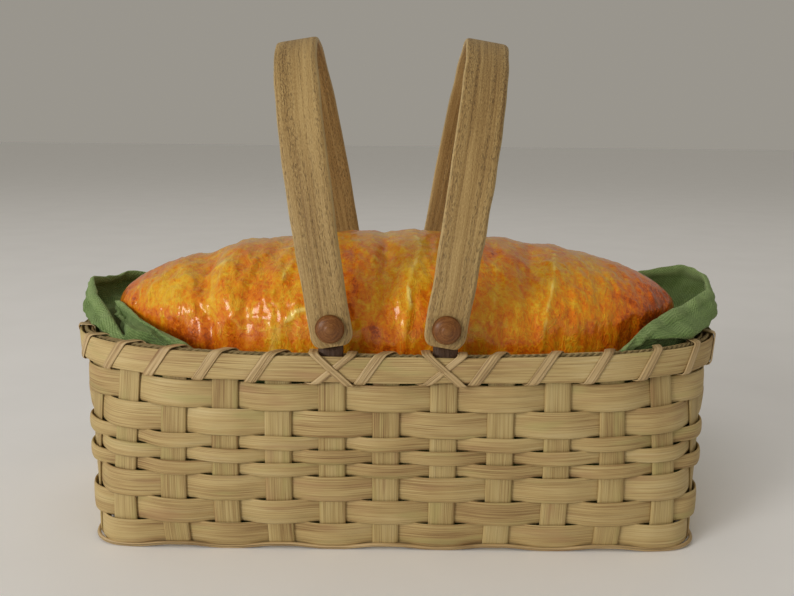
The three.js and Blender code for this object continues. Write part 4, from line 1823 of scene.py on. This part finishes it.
@dataclass
class Loaf:
    """The long glazed loaf, with its bursts, creases and wrinkled crust."""

    half_length: float = 189.5
    half_width: float = 85.5
    widest: float = 138.5
    crown: float = 187.5
    keel: float = -6.0
    underside: float = 5.7
    crown_power: float = 0.53
    keel_power: float = 4.0
    upper_girth_power: float = 2.0
    girth_power: float = 2.6
    stations: int = 430
    upper_sides: int = 138
    lower_sides: int = 62
    tip_gap: float = 0.6
    side_fade: float = 0.35
    tip_fade: float = 6.0
    mm_per_degree: float = 1.3
    crown_calm: float = 0.4
    calm_slope: float = 1.6
    smooth_from: float = 0.96
    least_reach: float = 0.3
    wander: Swell = Swell(13.0, 3, 21, 2.0)
    uneven: Swell = Swell(7.0, 2, 33, 0.5)
    uneven_middle: float = 0.75
    uneven_limits: tuple[float, float] = (0.2, 1.2)
    back_shift: float = 7.0
    back_squeeze: float = 0.9
    tip_span: tuple[float, float] = (0.70, 0.95)
    tip_baked: float = 0.7
    point_baked: float = 0.6
    wrinkles: Swell = Swell((9.0, 16.0, 14.0), 3, 5, 1.1)
    creases: Swell = Swell((7.0, 17.0, 15.0), 2, 15)
    crease_height: float = 0.5
    blisters: Swell = Swell((5.0, 6.0, 6.0), 2, 25)
    blister_from: float = 0.15
    blister_height: float = 0.9
    vein_places: Swell = Swell(30.0, 2, 45)
    vein_place_span: tuple[float, float] = (-0.1, 0.5)
    vein_span: tuple[float, float] = (0.80, 0.98)
    vein_pale: float = 0.45
    scores: tuple[Score, ...] = (
        Score(-128, 2, 16, 9, 5.6),
        Score(-104, 4, 4, 10, -3.2),
        Score(-72, 12, -8, 6, 2.4),
        Score(-9, -2, 3, 6, 3.6),
        Score(12, 5, -4, 8, -1.8),
        Score(61, 1, -1, 5, 1.4),
        Score(88, 6, -4, 9, 3.4),
        Score(108, 12, -4, 6, -1.2),
    )
    seams: tuple[Seam, ...] = (
        Seam(((-119, 10), (-120, 22), (-123, 46), (-121, 65), (-116, 83), (-112, 97)), 4, -2.6, shaded_hollow=1),
        Seam(((-109, 18), (-111, 40), (-113, 57), (-112, 78), (-107, 96)), 4.5, 1.2, pale=0.7),
        Seam(((-64, 34), (-65, 41), (-69, 48), (-71, 57), (-77, 64)), 1.5, 0.7, pale=0.9),
        Seam(((-52, 74), (-62, 78), (-67, 84), (-73, 92), (-86, 101)), 3.0, 1.3, pale=1.0),
        Seam(((-6, -6), (-7, 10), (-9, 40), (-9, 62), (-7, 84)), 2.2, -1.2, shaded_hollow=0.9),
        Seam(((12, 4), (12, 14), (15, 34), (8, 48), (6, 60), (9, 71), (6, 82), (2, 95)), 2, 1, pale=1),
        Seam(((20, 8), (22, 30), (19, 52), (18, 80)), 3.5, 0.5, baked_and_shade=0.7),
        Seam(((61, 36), (59, 52), (58, 66), (57, 84)), 1.8, 0.8, pale=0.8),
        Seam(((88, 0), (84, 22), (80, 43), (78, 68)), 2.4, -1.0, shaded_hollow=0.9),
        Seam(((103, 22), (96, 46), (94, 57), (91, 71), (88, 90)), 2.0, 1.0, pale=0.85),
        Seam(((-33, 24), (-28, 40), (-17, 25), (-26, 58), (-30, 76)), 8.0, 0.4, baked_and_shade=0.7),
        Seam(((14, -4), (15, 20), (17, 40), (13, 60), (8, 80), (5, 95)), 8.0, 0.4, pale=0.4),
        Seam(((-14, 88), (-6, 96), (3, 92), (9, 99)), 4.0, 0.0, baked_and_shade=0.8),
        # Darker by the cloth at the left end: partly browning, partly painted shade.
        Seam(((-184, 20), (-180, 50), (-170, 74), (-155, 86), (-135, 94), (-100, 100)), 12, 0, baked_and_shade=1.15),
        Seam(((58, 22), (66, 30), (76, 34)), 6.0, 0.4, baked_and_shade=0.95),
        Seam(((104, 44), (112, 62), (120, 72)), 4.0, 0.3, baked_and_shade=0.6),
        Seam(((140, 60), (158, 72), (170, 84)), 7.0, 0.2, baked_and_shade=0.5),
    )

    def sizes(self, part: Array) -> tuple[Array, Array, Array]:
        """Half the width, the crown's height and the belly's depth along the loaf.

        Args:
            part: distance from the middle as a share of half the length.

        Returns:
            The three sizes.
        """
        part = np.clip(part, 0, 1)
        width = self.half_width * np.sqrt(1 - part**2)
        crown = (self.crown - self.widest) * (1 - part**2) ** self.crown_power
        depth = (self.widest - self.keel) * np.sqrt(1 - part**self.keel_power)
        return width, crown, depth

    def cleared(self, points: Array, gap: float) -> Array:
        """Points pushed out sideways and up until they are clear of the loaf.

        Args:
            points: the points.
            gap: how far off the crust they have to be.

        Returns:
            The points, moved where they were too near.
        """
        part = np.abs(points[:, 0]) / (self.half_length + gap)
        width, crown, depth = (size + gap for size in self.sizes(part))
        y, z = points[:, 1], points[:, 2] - self.widest
        upper = z >= 0
        power = np.where(upper, self.upper_girth_power, self.girth_power)
        height = np.where(upper, crown, depth)
        reach = ((np.abs(y) / width) ** power + (np.abs(z) / height) ** power) ** (1 / power)
        grow = np.where((part < 1) & (reach < 1), 1 / np.maximum(reach, self.least_reach), 1)
        moved = points.copy()
        moved[:, 1] = y * grow
        moved[:, 2] = self.widest + np.where(upper, z * grow, z)
        return moved

    def slashes(self, x: Array, over: Array) -> Array:
        """How far the scores lift or sink the crust.

        Args:
            x: places along the loaf.
            over: how far over each is, from -1 at the back through 0 on the crown to 1 at the front.

        Returns:
            The lift at each place, in millimetres.
        """
        relief = np.zeros_like(x)
        for score in self.scores:
            middle = score.at - score.slant * over + score.bow * over * over
            relief -= score.depth * np.exp(-(((x - middle) / score.half_width) ** 2))
        return relief

    def felt(self, seam: Seam, x: Array, degrees: Array) -> Array:
        """How strongly a seam is felt at each place, 1 on it and 0 away from it.

        Args:
            seam: the seam.
            x: the places along the loaf.
            degrees: degrees from the crown to the front.

        Returns:
            The strength at each place.
        """
        place = np.stack([x, degrees * self.mm_per_degree], -1)
        line = np.array(seam.line) * (1, self.mm_per_degree)
        nearest = np.full(len(x), np.inf)
        for start, end in zip(line[:-1], line[1:]):
            way = end - start
            share = np.clip((place - start) @ way / (way @ way), 0, 1)
            gap = np.linalg.norm(place - start - share[:, None] * way, axis=1)
            nearest = np.minimum(nearest, gap)
        return np.exp(-((nearest / seam.half_width) ** 2))

    def crust(self, x: Array, degrees: Array, flat: Array) -> tuple[Array, Array]:
        """The crust's fine relief and its masks.

        Args:
            x: places along the loaf.
            degrees: degrees from the crown to the front, below zero towards the back.
            flat: the same places in space.

        Returns:
            The relief in millimetres, and the pale mask, the mask of painted shade in the hollows and the
            baked mask, which is partly painted shade.
        """
        relief = np.zeros(len(x))
        masks = np.zeros((len(x), 3))
        wander = self.wander.at(flat)
        uneven = np.clip(self.uneven_middle + self.uneven.at(flat), *self.uneven_limits)
        # The back, which the photograph hides, has the front's seams turned end for end.
        behind = self.back_shift - self.back_squeeze * x
        views = ((x + wander, degrees), (behind + wander, -degrees))
        for seam, (along, turned) in itertools.product(self.seams, views):
            strength = self.felt(seam, along, turned) * uneven
            relief += seam.rise * strength
            for i, share in enumerate((seam.pale, seam.shaded_hollow, seam.baked_and_shade)):
                masks[:, i] = np.maximum(masks[:, i], share * strength)
        tips = step(*self.tip_span, np.abs(x) / self.half_length)
        masks[:, 2] = np.maximum(masks[:, 2], self.tip_baked * tips)
        creases = self.creases.ridges(flat)
        blisters = np.clip(self.blisters.at(flat) - self.blister_from, 0, 1)
        relief += self.wrinkles.at(flat) + self.crease_height * creases + self.blister_height * blisters
        veins = step(*self.vein_span, creases) * step(*self.vein_place_span, self.vein_places.at(flat))
        masks[:, 0] = np.maximum(masks[:, 0], self.vein_pale * veins)
        return relief, masks

    def shape(self) -> Shape:
        """The loaf from tip to tip.

        Returns:
            The loaf as a shape, with its masks as surface coordinates.
        """
        share = (np.arange(self.stations) + self.tip_gap) / (self.stations - 1 + 2 * self.tip_gap)
        upper = np.linspace(0, np.pi, self.upper_sides, endpoint=False)
        lower = np.linspace(np.pi, 2 * np.pi, self.lower_sides, endpoint=False)
        angle = np.concatenate([upper, lower])
        stations = -self.half_length * np.cos(np.pi * share)
        x, angle = (v.ravel() for v in np.meshgrid(stations, angle, indexing="ij"))
        part = np.abs(x) / self.half_length
        width, crown, depth = self.sizes(part)
        c, s = np.cos(angle), np.sin(angle)
        above = s >= 0
        power = 2 / np.where(above, self.upper_girth_power, self.girth_power)
        height = np.where(above, crown, depth)
        out = np.sign(c) * np.abs(c) ** power * width
        up = np.sign(s) * np.abs(s) ** power * height
        flat = np.stack([x, out, self.widest + up], -1)
        fade = np.where(above, np.maximum(s, 0) ** self.side_fade * (1 - part**self.tip_fade), 0)
        relief, masks = self.crust(x, np.degrees(angle) - 90, flat)
        calm = mix(self.crown_calm, 1.0, np.clip(np.abs(c) * self.calm_slope, 0, 1))
        lift = (self.slashes(x, -c) * fade + relief * (1 - step(self.smooth_from, 1.0, part))) * calm
        slope = [0 * x, out / np.maximum(width, 1) ** 2, up / np.maximum(height, 1) ** 2]
        points = flat + unit(np.stack(slope, -1)) * lift[:, None]
        points[:, 2] = np.maximum(points[:, 2], self.underside)
        tips = np.array([[-self.half_length, 0, self.widest], [self.half_length, 0, self.widest]])
        count = self.upper_sides + self.lower_sides
        last, total = (self.stations - 1) * count, len(points)
        ring = np.arange(count)
        beside = (ring + 1) % count
        faces = [
            grid_faces(self.stations, count, False, True),
            np.stack([ring * 0 + total, beside, ring], -1),
            np.stack([ring * 0 + total + 1, last + ring, last + beside], -1),
        ]
        masks = np.concatenate([masks, [[0, 0, self.point_baked]] * 2])
        return Shape(np.concatenate([points, tips]), faces, masks)

    def build(self) -> None:
        """Makes the loaf."""
        install(self.shape(), "glazed_loaf", CRUST, BASKET, ["loaf"])


# ---- Liner ----


@dataclass
class Liner:
    """The green cloth that lines the basket and stands up past the rim at both ends.

    Its edge is a line of listed places: x, y, z, the turn on the wall that it rises from
    and how far it bellies out below the edge.
    """

    wall: Wall
    loaf: Loaf
    out: float = -8.5
    thickness: float = 1.0
    floor_height: float = 4.4
    floor_share: float = 0.94
    wall_bottom: float = 17.0
    side_top: float = 121.0
    rise_from: float = 131.5
    least_rise: float = 5.0
    hem_width: float = 6.5
    hem_thickness: float = 3.7
    spacing: float = 2.4
    crust_gap: float = 2.2
    lean: float = 1.75
    flat_size: tuple[float, float] = (420.0, 560.0)
    edge_softness: float = 2.2
    turn_softness: float = 9.0
    floor_start: float = 0.06
    floor_rows: int = 14
    bend_rows: int = 7
    wall_rows: int = 13
    free_rows: int = 19
    lean_from: float = 0.05
    belly_drop: float = 0.62
    folds: Swell = Swell((24.0, 20.0, 30.0), 2, 61, 2.6)
    creases: Swell = Swell((17.0, 26.0, 15.0), 2, 67, 1.4)
    crinkles: Swell = Swell(6.0, 2, 71, 0.8)
    held_share: float = 0.12
    held_to_free: tuple[float, float] = (118.0, 134.0)
    hem_outset: float = 0.8
    hem_inset: float = 0.4
    groove_gap: float = 0.9
    groove_width: float = 1.2
    groove_depth: float = 0.2
    puckers: Swell = Swell(5.5, 2, 77, 0.35)
    edge_round: float = 0.9
    edge_least: float = 0.05
    measured_row: int = 30
    front_right: tuple[float, float, int] = (0.0, 0.46, 8)
    back: tuple[float, float, int] = (1.60, 2.52, 14)
    front_left: tuple[float, float, int] = (3.56, 4.0, 8)
    left_end: tuple[tuple[float, ...], ...] = (
        (-150, 76, 136, 2.61, 2),
        (-186, 62, 147, 2.75, 5),
        (-205, 45, 150, 2.84, 9),
        (-212, 22, 151.5, 2.93, 10),
        (-211, 6, 151, 2.99, 10),
        (-206, -8, 148, 3.04, 10),
        (-199, -20, 146, 3.09, 10),
        (-190, -33, 142, 3.14, 9),
        (-180, -48, 136, 3.22, 6),
        (-172, -58, 130, 3.28, 3),
        (-167, -63, 126, 3.31, 0),
        (-164, -60, 127, 3.33, 0),
        (-176, -42, 135, 3.338, 0),
        (-187, -24, 141, 3.346, 0),
        (-187, -18, 143.5, 3.355, 0),
        (-178, -32, 143, 3.37, 1),
        (-156, -57, 135.5, 3.41, 1),
        (-123, -80, 127, 3.50, 0),
    )
    right_end: tuple[tuple[float, ...], ...] = (
        (132, -84, 126, 0.53, 0),
        (149, -67, 137, 0.61, 3),
        (166, -51, 142.5, 0.69, 8),
        (193, -26, 147.4, 0.85, 11),
        (207, -12, 152, 0.94, 10),
        (217, 3, 150, 1.01, 11),
        (219, 30, 158, 1.13, 11),
        (211, 46, 160, 1.19, 9),
        (196, 58, 155, 1.26, 6),
        (182, 67, 150, 1.34, 4),
        (160, 76, 139, 1.43, 2),
        (126, 83, 126, 1.54, 0),
    )

    def on_wall(self, first: float, last: float, count: int) -> list[tuple[float, ...]]:
        """A number of places of the edge, from one turn to another, where it lies against the wall."""
        turns = np.linspace(first, last, count)
        return [(*self.wall.at(turn, self.side_top, self.out), turn, 0) for turn in turns]

    def edge(self) -> Array:
        """The cloth's edge all round, from the front middle.

        Returns:
            Its evenly spaced places: x, y, z, turn and belly.
        """
        knots = [*self.on_wall(*self.front_right), *self.right_end, *self.on_wall(*self.back)]
        knots += [*self.left_end, *self.on_wall(*self.front_left)]
        even = evenly(np.array(knots), self.spacing)[:-1]
        share = np.arange(len(even)) / len(even)
        even[:, 3] -= 4 * share
        soft = softened(even, self.edge_softness)
        soft[:, 3] = softened(even[:, 3:4], self.turn_softness)[:, 0] + 4 * share
        return soft

    def rows(self) -> Array:
        """The middle surface of the cloth.

        Returns:
            Its rows of places, from the floor's middle to the edge.
        """
        edge = self.edge()
        turn, belly = edge[:, 3], edge[:, 4:]
        foot = self.wall.at(turn, self.wall_bottom, self.out)
        corner = foot * (1, 1, 0) + (0, 0, self.floor_height)
        shares = np.linspace(self.floor_start, self.floor_share, self.floor_rows)
        rows = [corner * (share, share, 1) for share in shares]
        floor_end = rows[-1]
        for t in np.linspace(0, 1, self.bend_rows)[1:]:
            rows.append(curve(floor_end, corner, foot, t))
        start = np.minimum(self.rise_from, edge[:, 2] - self.least_rise)
        for share in np.linspace(0, 1, self.wall_rows)[1:]:
            rows.append(self.wall.at(turn, mix(self.wall_bottom, start, share), self.out))
        base, rise = rows[-1], edge[:, 2] - start
        outward = self.wall.at(turn, start, self.out + 1) - base
        lower = self.wall.at(turn, start + rise * self.lean_from, self.out + self.lean * belly[:, 0])
        upper = edge[:, :3] + outward * belly
        upper = upper - np.stack([0 * rise, 0 * rise, self.belly_drop * rise], -1)
        for t in np.linspace(0, 1, self.free_rows)[1:]:
            near, far = (1 - t) ** 3 * base + t**3 * edge[:, :3], 3 * t * (1 - t)
            rows.append(near + far * (1 - t) * lower + far * t * upper)
        return np.stack(rows)

    def shape(self) -> Shape:
        """Both faces of the cloth, joined along a thicker hem.

        Returns:
            The cloth as a shape.
        """
        rows = self.rows()
        count, columns = rows.shape[:2]
        along = np.roll(rows, -1, 1) - np.roll(rows, 1, 1)
        normal = unit(np.cross(along, np.gradient(rows, axis=0)))
        flat = rows.reshape(-1, 3)
        folds = self.folds.at(flat) + self.creases.ridges(flat) + self.crinkles.at(flat)
        free = mix(self.held_share, 1.0, step(*self.held_to_free, rows[..., 2]))
        rows = rows + normal * (folds.reshape(count, columns) * free)[..., None]
        rows = self.loaf.cleared(rows.reshape(-1, 3), self.crust_gap).reshape(count, columns, 3)
        climbed = np.cumsum(np.linalg.norm(np.diff(rows, axis=0), axis=2), 0)
        up = np.concatenate([np.zeros((1, columns)), climbed])
        from_edge = up[-1] - up
        hem = step(self.hem_width + self.hem_outset, self.hem_width - self.hem_inset, from_edge)
        groove = np.exp(-(((from_edge - self.hem_width - self.groove_gap) / self.groove_width) ** 2))
        pucker = 1 + self.puckers.at(rows.reshape(-1, 3)).reshape(count, columns)
        half = mix(self.thickness, self.hem_thickness * pucker, hem) / 2 - self.groove_depth * groove
        rounding = 1 - (1 - np.clip(from_edge / self.edge_round, 0, 1)) ** 2
        half *= np.sqrt(np.clip(rounding, self.edge_least, 1))
        sides = [(rows + normal * (s * half)[..., None]).reshape(-1, 3) for s in (1, -1)]
        middles = [[0, 0, self.floor_height + s * self.thickness / 2] for s in (-1, 1)]
        length = np.broadcast_to(travelled(rows[self.measured_row]), up.shape)
        # The third mark is the hem, which the cloth's finish lightens as a painted highlight.
        marks = np.stack([length, up, hem], -1).reshape(-1, 3)
        size, last = count * columns, (count - 1) * columns
        ring, beside = np.arange(columns), (np.arange(columns) + 1) % columns
        grid = grid_faces(count, columns, False, True)
        faces = [
            grid,
            grid[:, ::-1] + size,
            np.stack([last + ring, last + beside, size + last + beside, size + last + ring], -1),
            np.stack([2 * size + 0 * ring, beside, ring], -1),
            np.stack([2 * size + 1 + 0 * ring, size + ring, size + beside], -1),
        ]
        points = np.concatenate([*sides, np.array(middles)])
        return Shape(points, faces, np.concatenate([marks, marks, np.zeros((2, 3))]))

    def build(self) -> None:
        """Makes the cloth."""
        piece = install(self.shape(), "cloth_liner", COTTON, BASKET, ["liner"])


# ---- Studio ----


@dataclass(frozen=True)
class Lamp:
    """A soft round light, which the glaze may mirror or not."""

    name: str
    place: tuple[float, float, float]
    aim: tuple[float, float, float]
    size: float
    power: float
    tint: Colour
    mirrored: bool


@dataclass
class Studio:
    """The pale floor, the soft lights and the camera at the photograph's angle."""

    focal_px: float = 820.0
    image_width_px: float = 794.0
    sensor_mm: float = 36.0
    camera_place: tuple[float, float, float] = (-0.17, -555.7, 251.9)
    pitch_down: float = 0.1955
    roll: float = 0.01
    floor_size: float = 40000.0
    floor_drop: float = 0.05
    sky_tint: Colour = (1.0, 0.94, 0.83)
    sky_strength: float = 0.32
    lamps: tuple[Lamp, ...] = (
        Lamp("key_light", (-2300, -2000, 1150), (0, 0, 90), 2200, 8.0, (1.0, 0.97, 0.92), False),
        Lamp("glint_light", (-2300, -2000, 1000), (0, 0, 90), 1150, 41.0, (1.0, 0.97, 0.92), True),
        Lamp("fill_light", (2400, -1800, 1000), (0, 0, 90), 1800, 3.0, (1.0, 0.88, 0.70), False),
        Lamp("sky_light", (-900, -1500, 2600), (0, 0, 130), 1500, 12.0, (1.0, 0.95, 0.93), False),
        Lamp("back_light", (300, 1500, 2300), (0, 0, 130), 1500, 3.0, (1.0, 0.95, 0.93), False),
    )

    def floor(self) -> None:
        """Makes the floor."""
        half = self.floor_size / 2
        corners = np.array([[-half, -half, 0], [half, -half, 0], [half, half, 0], [-half, half, 0]])
        shape = Shape(corners - (0, 0, self.floor_drop), [np.array([[0, 1, 2, 3]])], corners)
        piece = shape.to_object("studio_floor")
        piece.data.materials.append(material_of(Backdrop("floor")))

    def light(self) -> None:
        """Hangs the lights and sets the sky."""
        for lamp in self.lamps:
            data = bpy.data.lights.new(lamp.name, "AREA")
            data.shape, data.size = "DISK", lamp.size * MM
            data.energy, data.color = lamp.power, lamp.tint
            made = bpy.data.objects.new(lamp.name, data)
            bpy.context.scene.collection.objects.link(made)
            place, aim = (np.array(v) * MM for v in (lamp.place, lamp.aim))
            back = unit(place - aim)
            side = unit(np.cross((0, 0, 1), back))
            turned = np.eye(4)
            turned[:3, :3] = np.stack([side, np.cross(back, side), back], 1)
            turned[:3, 3] = place
            made.matrix_world = Matrix(turned.tolist())
            made.visible_camera = False
            made.visible_glossy = lamp.mirrored
        world = bpy.data.worlds.new("soft_sky")
        world.use_nodes = True
        sky = world.node_tree.nodes["Background"]
        sky.inputs["Color"].default_value = (*self.sky_tint, 1.0)
        sky.inputs["Strength"].default_value = self.sky_strength
        bpy.context.scene.world = world

    def camera(self) -> None:
        """Stands the camera where the photograph was taken from."""
        data = bpy.data.cameras.new("photo_camera")
        data.sensor_width = self.sensor_mm
        data.lens = self.focal_px / self.image_width_px * self.sensor_mm
        made = bpy.data.objects.new("photo_camera", data)
        bpy.context.scene.collection.objects.link(made)
        place = Matrix.Translation([v * MM for v in self.camera_place])
        pitch = Matrix.Rotation(math.pi / 2 - self.pitch_down, 4, "X")
        made.matrix_world = place @ pitch @ Matrix.Rotation(self.roll, 4, "Z")
        bpy.context.scene.camera = made
        bpy.context.scene.view_settings.view_transform = "Standard"

    def build(self) -> None:
        """Sets up the studio."""
        self.floor()
        self.light()
        self.camera()


def main() -> None:
    """Builds everything in order."""
    logging.basicConfig(level=logging.INFO, format="%(name)s: %(message)s")
    Studio().build()
    wall = Wall()
    spacing = Spacing(wall)
    Uprights(wall, spacing).build()
    Weaving(wall, spacing).build()
    Foot(wall, spacing).build()
    Rim(wall, spacing).build()
    fittings = Fittings(spacing)
    fittings.build()
    Handles(fittings).build()
    loaf = Loaf()
    Liner(wall, loaf).build()
    loaf.build()


if __name__ == "__main__":
    main()
